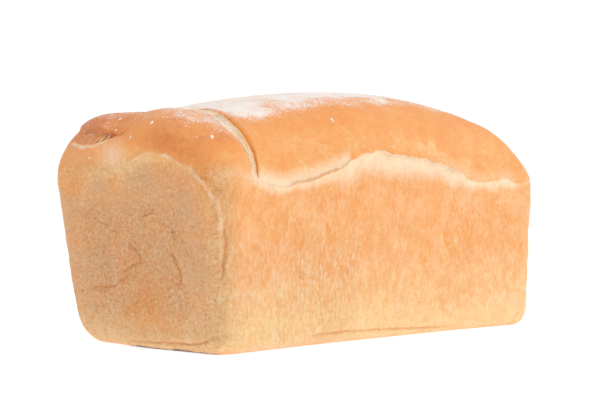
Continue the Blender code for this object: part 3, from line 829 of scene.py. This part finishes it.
def join_base(mesh):
    """Joins the base's flat quads into the one face that the loaf stands on."""
    shell = bmesh.new()
    shell.from_mesh(mesh)
    flat = [face for face in shell.faces if all(v.co.z < 1e-6 for v in face.verts)]
    bmesh.ops.dissolve_faces(shell, faces=flat)
    bmesh.ops.recalc_face_normals(shell, faces=shell.faces)
    shell.to_mesh(mesh)
    shell.free()


def crust_mesh(shape):
    """The whole crust as a mesh in the frame, with its marks as point attributes."""
    mesh = refined(*box_lattice(shape.spacing))
    crust = Crust(press_out(read_points(mesh)))
    lay_slack(crust, shape)
    lay_tear(crust, shape)
    lay_split(crust, shape)
    lay_fold(crust, shape)
    lay_flap(crust, shape)
    lay_wrinkles(crust)
    lay_foot(crust)
    lay_browning(crust)
    lay_flour(crust)
    surface = crust.surface() - FORM_MIDDLE
    surface[:, 2] = np.where(surface[:, 2] < 1e-6, 0.0, surface[:, 2])
    mesh.vertices.foreach_set("co", surface.ravel())
    for name, amounts in crust.marks.items():
        attribute = mesh.attributes.new(name, "FLOAT", "POINT")
        attribute.data.foreach_set("value", np.clip(amounts, 0.0, 3.0).astype(np.float32))
    join_base(mesh)
    mesh.shade_smooth()
    return mesh


# ---------------------------------------------------------------------------------------------------------
# Finishes
# ---------------------------------------------------------------------------------------------------------


class Finish:
    """A material under construction: short ways to add its nodes."""

    def __init__(self, name):
        self.material = bpy.data.materials.new(name)
        self.material.use_nodes = True
        self.nodes = self.material.node_tree.nodes
        self.links = self.material.node_tree.links
        self.shader = self.nodes["Principled BSDF"]
        self.place = self.nodes.new("ShaderNodeTexCoord").outputs["Object"]

    def feed(self, socket, value):
        """Links a socket, or sets its value."""
        if isinstance(value, bpy.types.NodeSocket):
            self.links.new(value, socket)
        elif isinstance(value, (tuple, list)) and len(value) == 3 and socket.type == "RGBA":
            socket.default_value = (*value, 1.0)
        else:
            socket.default_value = value

    def dress(self, inputs):
        """Links or sets the shader's own inputs."""
        for name, value in inputs.items():
            self.feed(self.shader.inputs[name], value)

    def mark(self, name):
        node = self.nodes.new("ShaderNodeAttribute")
        node.attribute_name = name
        return node.outputs["Fac"]

    def stretched(self, scale):
        """The object's own coordinates, stretched by a scale per axis."""
        node = self.nodes.new("ShaderNodeMapping")
        self.feed(node.inputs["Vector"], self.place)
        node.inputs["Scale"].default_value = scale
        return node.outputs["Vector"]

    def noise(self, scale, detail=3.0, roughness=0.55, vector=None, distortion=0.0):
        node = self.nodes.new("ShaderNodeTexNoise")
        self.feed(node.inputs["Vector"], vector or self.place)
        settings = {"Scale": scale, "Detail": detail, "Roughness": roughness, "Distortion": distortion}
        for name, value in settings.items():
            node.inputs[name].default_value = value
        return node.outputs["Fac"]

    def cells(self, scale, vector):
        """Distance to the middle of the nearest cell."""
        node = self.nodes.new("ShaderNodeTexVoronoi")
        self.feed(node.inputs["Vector"], vector)
        node.inputs["Scale"].default_value = scale
        return node.outputs["Distance"]

    def math(self, operation, a, b=0.0, clamp=False):
        node = self.nodes.new("ShaderNodeMath")
        node.operation = operation
        node.use_clamp = clamp
        self.feed(node.inputs[0], a)
        self.feed(node.inputs[1], b)
        return node.outputs[0]

    def times(self, a, b):
        return self.math("MULTIPLY", a, b)

    def most(self, a, b):
        return self.math("MAXIMUM", a, b)

    def centred(self, value):
        """Noise about zero, from noise about a half."""
        return self.math("SUBTRACT", value, 0.5)

    def summed(self, *terms):
        """The sum of some values, each times its weight."""
        total = 0.0
        for value, weight in terms:
            node = self.nodes.new("ShaderNodeMath")
            node.operation = "MULTIPLY_ADD"
            self.feed(node.inputs[0], value)
            self.feed(node.inputs[1], weight)
            self.feed(node.inputs[2], total)
            total = node.outputs[0]
        return total

    def bent(self, reach, scale):
        """The object's own coordinates, pushed about by noise."""
        wobble = self.nodes.new("ShaderNodeTexNoise")
        self.feed(wobble.inputs["Vector"], self.place)
        wobble.inputs["Scale"].default_value = scale
        node = self.nodes.new("ShaderNodeVectorMath")
        node.operation = "MULTIPLY_ADD"
        self.feed(node.inputs[0], wobble.outputs["Color"])
        node.inputs[1].default_value = (reach, reach, reach)
        self.feed(node.inputs[2], self.place)
        return node.outputs["Vector"]

    def ranged(self, value, low, high, to_low=0.0, to_high=1.0, smooth=True):
        node = self.nodes.new("ShaderNodeMapRange")
        node.interpolation_type = "SMOOTHSTEP" if smooth else "LINEAR"
        for name, amount in (
            ("Value", value), ("From Min", low), ("From Max", high), ("To Min", to_low), ("To Max", to_high),
        ):
            self.feed(node.inputs[name], amount)
        return node.outputs["Result"]

    def mixed(self, share, a, b):
        node = self.nodes.new("ShaderNodeMix")
        node.data_type = "RGBA"
        self.feed(node.inputs[0], share)
        self.feed(node.inputs[6], a)
        self.feed(node.inputs[7], b)
        return node.outputs[2]

    def bumped(self, height, distance, strength=1.0, below=None):
        node = self.nodes.new("ShaderNodeBump")
        node.inputs["Strength"].default_value = strength
        node.inputs["Distance"].default_value = distance
        self.feed(node.inputs["Height"], height)
        if below:
            self.feed(node.inputs["Normal"], below)
        return node.outputs["Normal"]


def crust_finish(colours):
    """Baked crust: pale to dark with its browning and the painted shade laid in with it, cream where it is torn,
    white where flour lies. Painted shade lies in creases and pits, painted highlights lie on pebbles, the flecks
    are partly painted highlight and shade, and a painted glow lies in the split's groove.
    """
    f = Finish("baked_crust")
    bake_and_shade, torn, flour = f.mark("bake_and_shade"), f.mark("torn"), f.mark("flour")
    straw, tan, flecks = f.mark("straw"), f.mark("tan"), f.mark("flecks")
    pitted, crease_shade_and_glow = f.mark("pitted"), f.mark("crease_shade_and_glow")

    patches = f.centred(f.noise(48.0, 3.0, 0.55, distortion=0.8))
    mottles = f.centred(f.noise(150.0, 4.0, 0.62, distortion=0.8))
    scuffs = f.noise(430.0, 4.0, 0.65, distortion=0.6)
    grain = f.noise(1500.0, 2.0, 0.6)
    upright = f.noise(1.0, 3.0, 0.65, f.stretched((900.0, 900.0, 250.0)), 0.3)

    # The browning mark carries painted shade as well as the real browning.
    browned_and_shaded = f.summed((bake_and_shade, 1.0), (patches, 0.75), (mottles, 0.65), (f.centred(scuffs), 0.70))
    browned_and_shaded = f.summed((browned_and_shaded, 1.0), (f.centred(grain), 0.40))
    golden = f.mixed(f.ranged(browned_and_shaded, 0.18, 0.55), colours.pale[:], colours.wall[:])
    golden = f.mixed(f.ranged(browned_and_shaded, 0.50, 0.80), golden, colours.crown[:])
    golden = f.mixed(f.ranged(browned_and_shaded, 0.78, 1.55), golden, colours.dark[:])
    golden = f.mixed(f.ranged(browned_and_shaded, 1.80, 2.40), golden, colours.foot_burn_and_shadow[:])

    scuffed = f.noise(85.0, 5.0, 0.70, f.bent(0.010, 90.0))
    worn = f.times(f.ranged(flecks, 0.0, 0.4), f.ranged(scuffed, 0.42, 0.66, 0.0, 0.60))
    golden = f.mixed(worn, golden, colours.worn[:])
    tan_share = f.times(tan, f.ranged(f.summed((patches, 1.0), (mottles, 0.6)), -0.22, 0.16, 1.0, 0.62))
    tanned = f.mixed(tan_share, golden, colours.end[:])
    spotted = f.summed((mottles, 1.0), (f.centred(scuffs), 0.5))
    straw_share = f.times(straw, f.ranged(spotted, -0.16, 0.10, 1.0, 0.45))
    strawed = f.mixed(straw_share, tanned, colours.pale[:])

    flecks = f.times(flecks, f.ranged(f.noise(30.0, 2.0), 0.36, 0.60, 0.60, 0.95))
    # Pale and dark flecks on the walls: partly the crust's own colour, and partly a painted highlight and painted
    # shade on the upright streaks that the bump raises and lowers.
    pale_flecks_and_highlights = f.times(flecks, f.ranged(f.summed((upright, 1.0), (patches, 0.45)), 0.52, 0.60))
    flecked = f.mixed(f.times(pale_flecks_and_highlights, 0.58), strawed, colours.torn[:])
    dark_flecks_and_shade = f.times(flecks, f.ranged(f.summed((upright, 1.0), (patches, 0.45)), 0.46, 0.38))
    flecked = f.mixed(f.times(dark_flecks_and_shade, 0.50), flecked, colours.crown[:])

    shreds = f.noise(1.0, 3.0, 0.65, f.stretched((420.0, 420.0, 200.0)), 0.5)
    ragged = f.summed((torn, 1.0), (f.centred(shreds), 0.35), (mottles, 0.5), (patches, 0.3))
    cream_share = f.times(f.ranged(ragged, 0.05, 0.95), f.ranged(torn, 0.0, 0.30))
    creamed = f.mixed(cream_share, flecked, colours.torn[:])

    pebbles = f.noise(700.0, 3.0, 0.6, distortion=0.4)
    holes = f.ranged(f.cells(360.0, f.bent(0.0012, 500.0)), 0.10, 0.30, 1.0, 0.0)
    holes = f.times(holes, f.ranged(scuffs, 0.46, 0.60))
    holes = f.times(holes, pitted)
    hollows = f.times(f.ranged(pebbles, 0.50, 0.38), f.math("ADD", f.times(pitted, 0.7), 0.10))
    swirl = f.noise(95.0, 3.0, 0.6, f.bent(0.004, 180.0))
    lines = f.ranged(f.math("ABSOLUTE", f.centred(swirl)), 0.0, 0.012, 1.0, 0.0)
    lines = f.times(lines, f.ranged(f.noise(75.0, 2.0), 0.50, 0.66))
    lines = f.times(lines, f.math("ADD", pitted, f.times(flecks, 0.6), clamp=True))
    # Painted shade in the hollows, holes and fine lines, and below it a painted highlight on the pebbles that the
    # bump raises.
    pit_shade = f.most(f.times(holes, 0.85), f.times(hollows, 0.85))
    pit_shade = f.most(pit_shade, f.times(lines, 0.12))
    pebble_highlight = f.times(f.ranged(pebbles, 0.53, 0.64, 0.0, 0.50), pitted)
    creamed = f.mixed(pebble_highlight, creamed, colours.pale[:])
    # Painted shade in creases and pits, and, where the crease mark passes 0.9, a painted glow in the split's
    # groove.
    crease_shaded = f.mixed(f.most(pit_shade, f.times(crease_shade_and_glow, 0.85)), creamed, colours.groove[:])
    crease_shaded = f.mixed(f.ranged(crease_shade_and_glow, 0.9, 1.7), crease_shaded, colours.groove_glow[:])

    speckle = f.noise(1300.0, 3.0, 0.7)
    drifted = f.summed((flour, 0.80), (f.centred(f.noise(130.0, 3.0, 0.6)), 0.8), (f.centred(speckle), 2.2))
    dusting = f.times(f.ranged(drifted, 0.22, 0.85, 0.0, 0.92), f.ranged(flour, 0.03, 0.22))
    coloured = f.mixed(dusting, crease_shaded, colours.flour[:])

    rough = f.ranged(browned_and_shaded, 0.2, 1.0, 0.70, 0.50, smooth=False)
    rough = f.most(rough, f.times(f.most(torn, dusting), 0.88))
    f.dress({
        "Base Color": coloured, "Roughness": rough, "Specular IOR Level": 0.35,
        "Subsurface Weight": 0.10, "Subsurface Radius": (1.0, 0.45, 0.2), "Subsurface Scale": 0.0025,
        "Sheen Weight": 0.12, "Sheen Roughness": 0.5,
    })

    relief = f.bumped(scuffs, 0.0010, 0.8)
    relief = f.bumped(grain, 0.00022, 0.7, relief)
    relief = f.bumped(f.times(upright, f.summed((flecks, 0.8), (bake_and_shade, 0.05))), 0.0018, 0.8, relief)
    relief = f.bumped(f.times(pebbles, f.summed((pitted, 1.0), (bake_and_shade, 0.07))), 0.0018, 0.8, relief)
    pierced = f.most(holes, f.times(lines, 0.3))
    relief = f.bumped(f.times(pierced, -1.0), 0.0008, 0.8, relief)
    relief = f.bumped(f.times(shreds, torn), 0.0008, 0.7, relief)
    relief = f.bumped(dusting, 0.00015, 0.5, relief)
    f.dress({"Normal": relief})
    return f.material


# ---------------------------------------------------------------------------------------------------------
# Pieces
# ---------------------------------------------------------------------------------------------------------


def add_piece(context, name, mesh, material):
    piece = bpy.data.objects.new(name, mesh)
    context.scene.collection.objects.link(piece)
    if material:
        mesh.materials.clear()
        mesh.materials.append(material)
    return piece


class TINLOAF_OT_crust(bpy.types.Operator):
    """Bake the crust: the loaf's whole outside as one closed mesh"""

    bl_idname = "tinloaf.crust"
    bl_label = "Bake Crust"

    def execute(self, context):
        mesh = crust_mesh(context.scene.tinloaf_shape)
        crust = add_piece(context, "crust", mesh, crust_finish(context.scene.tinloaf_colours))
        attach(crust, "root")
        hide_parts("loaf")
        return {"FINISHED"}


class Growth:
    """A Geometry Nodes tree under construction, and the plain mesh that it grows on a base mesh."""

    def __init__(self, name, **sizes):
        self.name = name
        self.tree = bpy.data.node_groups.new(name, "GeometryNodeTree")
        self.sockets = {}
        self.values = sizes
        self.tree.interface.new_socket("Geometry", in_out="OUTPUT", socket_type="NodeSocketGeometry")
        self.tree.interface.new_socket("Geometry", in_out="INPUT", socket_type="NodeSocketGeometry")
        for label, value in sizes.items():
            kind = {bpy.types.Material: "Material", int: "Int"}.get(type(value), "Float")
            self.sockets[label] = self.tree.interface.new_socket(
                label, in_out="INPUT", socket_type="NodeSocket" + kind
            )
        self.given = self.tree.nodes.new("NodeGroupInput").outputs

    def add(self, kind, inputs=(), **settings):
        """A node with its settings and its inputs, which are values or other nodes' outputs."""
        node = self.tree.nodes.new(kind)
        for name, value in settings.items():
            setattr(node, name, value)
        for key, value in dict(inputs).items():
            if isinstance(value, bpy.types.NodeSocket):
                self.tree.links.new(value, node.inputs[key])
            else:
                node.inputs[key].default_value = value
        return node.outputs

    def random(self, low, high, seed):
        """A number for each point, between low and high."""
        return self.add("FunctionNodeRandomValue", {2: low, 3: high, 8: seed})[1]

    def times(self, a, b):
        return self.add("ShaderNodeMath", {0: a, 1: b}, operation="MULTIPLY")[0]

    def pushed(self, geometry, scale, detail, reach):
        """The geometry with its points pushed about by noise."""
        wave = self.add("ShaderNodeTexNoise", {"Scale": scale, "Detail": detail})["Color"]
        centred = self.add("ShaderNodeVectorMath", {0: wave, 1: (-0.5, -0.5, -0.5)}, operation="ADD")[0]
        offset = self.add("ShaderNodeVectorMath", {0: centred, "Scale": reach}, operation="SCALE")[0]
        return self.add("GeometryNodeSetPosition", {"Geometry": geometry, "Offset": offset})[0]

    def attribute(self, name):
        return self.add("GeometryNodeInputNamedAttribute", {"Name": name}, data_type="FLOAT")[0]

    def grow(self, context, geometry, base):
        """Ends the tree with real geometry and its material, and returns what it grows on the base."""
        real = self.add("GeometryNodeRealizeInstances", {"Geometry": geometry})[0]
        dressed = self.add("GeometryNodeSetMaterial", {"Geometry": real, "Material": self.given["Finish"]})[0]
        self.tree.links.new(dressed, self.tree.nodes.new("NodeGroupOutput").inputs["Geometry"])
        holder = add_piece(context, self.name + "_base", base, None)
        modifier = holder.modifiers.new(self.name, "NODES")
        modifier.node_group = self.tree
        for label, value in self.values.items():
            modifier[self.sockets[label].identifier] = value
        mesh = bpy.data.meshes.new_from_object(holder.evaluated_get(context.evaluated_depsgraph_get()))
        holder.modifiers.remove(modifier)
        bpy.data.objects.remove(holder)
        mesh.name = self.name
        return mesh


def torn_finish(colours):
    """Torn dough: cream, a little browned in places, and rough."""
    f = Finish("torn_dough")
    browning = f.ranged(f.noise(260.0, 3.0, 0.6), 0.40, 0.62)
    f.dress({
        "Base Color": f.mixed(f.times(browning, 0.9), colours.torn[:], colours.worn[:]),
        "Roughness": 0.75, "Specular IOR Level": 0.3,
        "Subsurface Weight": 0.6, "Subsurface Radius": (1.0, 0.5, 0.22), "Subsurface Scale": 0.003,
        "Normal": f.bumped(f.noise(1800.0, 3.0, 0.6), 0.0002, 0.6),
    })
    return f.material


def flour_finish(colours):
    """Flour: white, rough and slightly uneven in tone."""
    f = Finish("flour")
    shade = f.ranged(f.noise(900.0, 2.0, 0.5), 0.35, 0.65, 0.0, 0.5)
    f.dress({
        "Base Color": f.mixed(shade, colours.flour[:], colours.torn[:]),
        "Roughness": 0.95, "Specular IOR Level": 0.15,
        "Normal": f.bumped(f.noise(2500.0, 3.0, 0.6), 0.0002, 0.8),
    })
    return f.material


def strand_runs():
    """Where torn strands run, in the form's place: each as (points, thickness in millimetres). Some lie along
    the split, and some hang in the gash from its upper edge to its lower one."""
    draw = random.Random(STRAND_SEED)
    runs = []
    for offset, low, high, thickness in SPLIT_STRANDS:
        ys = np.arange(low, high, STRAND_STEP)
        drift, phase = 0.0, draw.uniform(0.0, 6.0)
        points = []
        for y in ys:
            drift = 0.85 * drift + draw.uniform(-0.10, 0.10) * MM
            x = float(line_height(SPLIT_LINE, y)) + offset * MM + drift + 0.35 * MM * math.sin(y * 310.0 + phase)
            points.append((x, y))
        runs.append((points, thickness))
    hanging = []
    for y in GASH_STRANDS:
        y += draw.uniform(-0.6, 0.6) * MM
        hanging.append((y, draw.uniform(-0.8, 0.8) * MM, draw.uniform(0.25, 0.70)))
    return runs, hanging


def strand_base(crust):
    """The strands' middle lines as loose edges that lie on the crust, or span its gash."""
    surface = surface_of(crust)
    middle = Vector(FORM_MIDDLE)
    points, edges, widths = [], [], []

    def lay(path, thickness):
        first = len(points)
        for i, place in enumerate(path):
            share = i / (len(path) - 1)
            points.append(place)
            swell = math.sin(math.pi * min(max(share, 0.03), 0.97)) ** 0.5
            widths.append(thickness * MM / 2 * (0.35 + 0.65 * swell))
            if i:
                edges.append((first + i - 1, first + i))

    runs, hanging = strand_runs()
    for path, thickness in runs:
        laid = []
        for x, y in path:
            start = Vector((x, y, 0.30)) - middle
            aim = Vector((x, y * 0.35, 0.070)) - middle
            hit = surface.ray_cast(start, (aim - start).normalized()) if y > STEEP_CROWN_Y else None
            if not hit or hit[0] is None:
                hit = surface.find_nearest(Vector((x, y, split_height(x, y))) - middle)
            laid.append(hit[0] + hit[1] * thickness * MM * 0.15)
        lay(laid, thickness)
    for y, lean, thickness in hanging:
        ends = []
        for line, side, lift in ((GASH_HIGH, lean, -0.0006), (GASH_LOW, 0.0, 0.0001)):
            place = Vector((-0.150, y + side, float(line_height(line, y)) + lift)) - middle
            hit = surface.ray_cast(place, Vector((1.0, 0.0, 0.0)))
            if hit[0] is not None:
                ends.append(hit[0])
        if len(ends) == 2:
            hung = []
            for i in range(GASH_STRAND_RUNS + 1):
                bow = GASH_STRAND_BOW * math.sin(math.pi * i / GASH_STRAND_RUNS) + GASH_STRAND_STANDOFF
                hung.append(ends[0].lerp(ends[1], i / GASH_STRAND_RUNS) + Vector((bow, 0, 0)))
            lay(hung, thickness)
    base = bpy.data.meshes.new("strand_lines")
    base.from_pydata([tuple(p) for p in points], edges, [])
    base.attributes.new("half_width", "FLOAT", "POINT").data.foreach_set("value", np.array(widths, np.float32))
    return base


def split_height(x, y):
    """Height of the plain form's crown at a place across it."""
    heights = np.linspace(0.070, 0.125, 221)
    outside = form_distance(np.stack([np.full(221, x), np.full(221, y), heights], axis=1)) > 0.0
    return float(heights[np.argmax(outside)]) if outside.any() else 0.120


def surface_of(crust):
    return BVHTree.FromPolygons([v.co for v in crust.data.vertices], [p.vertices for p in crust.data.polygons])


def clump_mesh(crust):
    """Clumps of flour: dented, flattened balls half sunk in the crust."""
    surface = surface_of(crust)
    shell = bmesh.new()
    for place, half_width, stretch in FLOUR_CLUMPS:
        spot, normal, _, _ = surface.find_nearest(Vector(place) - Vector(FORM_MIDDLE))
        turn = normal.to_track_quat("Z", "Y").to_matrix()
        ball = bmesh.ops.create_icosphere(shell, subdivisions=3, radius=half_width)["verts"]
        for v in ball:
            swell = 1.0 + CLUMP_UNEVENNESS * noise.noise(v.co / half_width + Vector(place) * 900.0)
            flat = Vector((v.co.x * CLUMP_WIDTH, v.co.y * stretch, v.co.z * CLUMP_FLATNESS))
            v.co = spot + turn @ flat * swell
    mesh = bpy.data.meshes.new("flour_clumps")
    shell.to_mesh(mesh)
    shell.free()
    mesh.shade_smooth()
    return mesh


class TINLOAF_OT_strands(bpy.types.Operator):
    """Draw the torn strands of dough along the split and across the gash"""

    bl_idname = "tinloaf.strands"
    bl_label = "Draw Torn Strands"

    def execute(self, context):
        crust = bpy.data.objects["crust"]
        g = Growth("torn_strands", Thickness=1.0, Waviness=0.00035, Seed=7,
                   Finish=torn_finish(context.scene.tinloaf_colours))
        curve = g.add("GeometryNodeMeshToCurve", {"Mesh": g.given["Geometry"]})[0]
        waved = g.pushed(curve, 320.0, 2.0, g.given["Waviness"])
        lump = g.random(0.75, 1.25, g.given["Seed"])
        width = g.times(g.times(g.attribute("half_width"), lump), g.given["Thickness"])
        ring = g.add("GeometryNodeCurvePrimitiveCircle",
                     {"Resolution": STRAND_SIDES, "Radius": 1.0}, mode="RADIUS")[0]
        tubes = g.add("GeometryNodeCurveToMesh", {
            "Curve": waved, "Profile Curve": ring, "Scale": width, "Fill Caps": True,
        })[0]
        mesh = g.grow(context, tubes, strand_base(crust))
        mesh.shade_smooth()
        strands = add_piece(context, "torn_strands", mesh, None)
        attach(strands, "root")
        return {"FINISHED"}


class TINLOAF_OT_flour(bpy.types.Operator):
    """Scatter grains and clumps of flour over the crown"""

    bl_idname = "tinloaf.flour"
    bl_label = "Scatter Flour"

    def execute(self, context):
        crust = bpy.data.objects["crust"]
        finish = flour_finish(context.scene.tinloaf_colours)
        for name, density, small, large, detail, seed in FLOUR_KINDS:
            g = Growth(name, Density=density, Smallest=small, Largest=large, Detail=detail, Seed=seed,
                       Finish=finish)
            dust = g.add("ShaderNodeMath", {0: g.attribute("flour"), 1: 1.5}, operation="POWER")[0]
            here = g.times(dust, g.given["Density"])
            scattered = g.add("GeometryNodeDistributePointsOnFaces",
                              {"Mesh": g.given["Geometry"], "Density": here, "Seed": g.given["Seed"]})
            ball = g.add("GeometryNodeMeshIcoSphere", {"Radius": 1.0, "Subdivisions": g.given["Detail"]})[0]
            size = g.random(g.given["Smallest"], g.given["Largest"], g.given["Seed"])
            flat = g.add("ShaderNodeCombineXYZ", {"X": size, "Y": size, "Z": g.times(size, GRAIN_FLATNESS)})[0]
            grains = g.add("GeometryNodeInstanceOnPoints", {
                "Points": scattered["Points"], "Instance": ball, "Rotation": scattered["Rotation"], "Scale": flat,
            })[0]
            real = g.add("GeometryNodeRealizeInstances", {"Geometry": grains})[0]
            dented = g.pushed(real, 1400.0, 1.0, 0.0005)
            grains = add_piece(context, name, g.grow(context, dented, crust.data.copy()), None)
            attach(grains, "root")
        clumps = add_piece(context, "flour_clumps", clump_mesh(crust), finish)
        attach(clumps, "root")
        return {"FINISHED"}


class TINLOAF_OT_studio(bpy.types.Operator):
    """Set up a white floor, soft studio lights and the camera"""

    bl_idname = "tinloaf.studio"
    bl_label = "Set Up Studio"

    def execute(self, context):
        set_floor(context)
        set_lights(context)
        set_camera(context)
        return {"FINISHED"}


def set_floor(context):
    corners = [(FLOOR_REACH * x, FLOOR_REACH * y, 0) for x, y in ((-1, -1), (1, -1), (1, 1), (-1, 1))]
    mesh = bpy.data.meshes.new("floor")
    mesh.from_pydata(corners, [], [(0, 1, 2, 3)])
    f = Finish("white_floor")
    seen = f.nodes.new("ShaderNodeLightPath").outputs["Is Camera Ray"]
    f.dress({
        "Base Color": FLOOR_GREY, "Roughness": 0.6, "Specular IOR Level": 0.2,
        "Emission Color": (1.0, 1.0, 1.0), "Emission Strength": f.ranged(seen, 0.0, 1.0, *FLOOR_GLOW),
    })
    floor = add_piece(context, "floor", mesh, f.material)


def set_lights(context):
    world = bpy.data.worlds.new("studio")
    context.scene.world = world
    world.use_nodes = True
    nodes, links = world.node_tree.nodes, world.node_tree.links
    sky = nodes["Background"]
    sky.inputs["Color"].default_value = (1.0, 1.0, 1.0, 1.0)
    strength = nodes.new("ShaderNodeMapRange")
    strength.inputs["To Min"].default_value, strength.inputs["To Max"].default_value = SKY_GLOW
    links.new(nodes.new("ShaderNodeLightPath").outputs["Is Camera Ray"], strength.inputs["Value"])
    links.new(strength.outputs["Result"], sky.inputs["Strength"])
    for name, place, size, power in LIGHTS:
        lamp = bpy.data.lights.new(name, "AREA")
        lamp.shape = "SQUARE"
        lamp.size = size
        lamp.energy = power
        light = bpy.data.objects.new(name, lamp)
        context.scene.collection.objects.link(light)
        light.location = place
        light.rotation_euler = (Vector(LIGHT_AIM) - light.location).to_track_quat("-Z", "Y").to_euler()


def set_camera(context):
    lens = bpy.data.cameras.new("camera")
    lens.lens = CAMERA_LENS
    lens.sensor_width = CAMERA_SENSOR
    camera = bpy.data.objects.new("camera", lens)
    context.scene.collection.objects.link(camera)
    camera.location = CAMERA_PLACE
    turn, dip = math.radians(CAMERA_TURN), math.radians(CAMERA_DIP)
    aim = Vector((math.cos(dip) * math.cos(turn), math.cos(dip) * math.sin(turn), -math.sin(dip)))
    camera.rotation_euler = aim.to_track_quat("-Z", "Y").to_euler()
    context.scene.camera = camera
    context.scene.view_settings.view_transform = "Standard"


class TINLOAF_PT_sidebar(bpy.types.Panel):
    bl_idname = "TINLOAF_PT_sidebar"
    bl_label = "Tin Loaf"
    bl_space_type = "VIEW_3D"
    bl_region_type = "UI"
    bl_category = "Tin Loaf"

    def draw(self, context):
        for settings in (context.scene.tinloaf_shape, context.scene.tinloaf_colours):
            box = self.layout.box()
            for name in settings.bl_rna.properties.keys():
                if name not in {"rna_type", "name"}:
                    box.prop(settings, name)
        for operator in PIECES:
            self.layout.operator(operator.bl_idname)


PIECES = (TINLOAF_OT_crust, TINLOAF_OT_strands, TINLOAF_OT_flour, TINLOAF_OT_studio)
CLASSES = (LoafShape, LoafColours, *PIECES, TINLOAF_PT_sidebar)


def register():
    for each in CLASSES:
        bpy.utils.register_class(each)
    bpy.types.Scene.tinloaf_shape = PointerProperty(type=LoafShape)
    bpy.types.Scene.tinloaf_colours = PointerProperty(type=LoafColours)


def unregister():
    del bpy.types.Scene.tinloaf_shape
    del bpy.types.Scene.tinloaf_colours
    for each in reversed(CLASSES):
        bpy.utils.unregister_class(each)


def main():
    register()
    bpy.ops.tinloaf.crust()
    bpy.ops.tinloaf.strands()
    bpy.ops.tinloaf.flour()
    bpy.ops.tinloaf.studio()


if __name__ == "__main__":
    main()
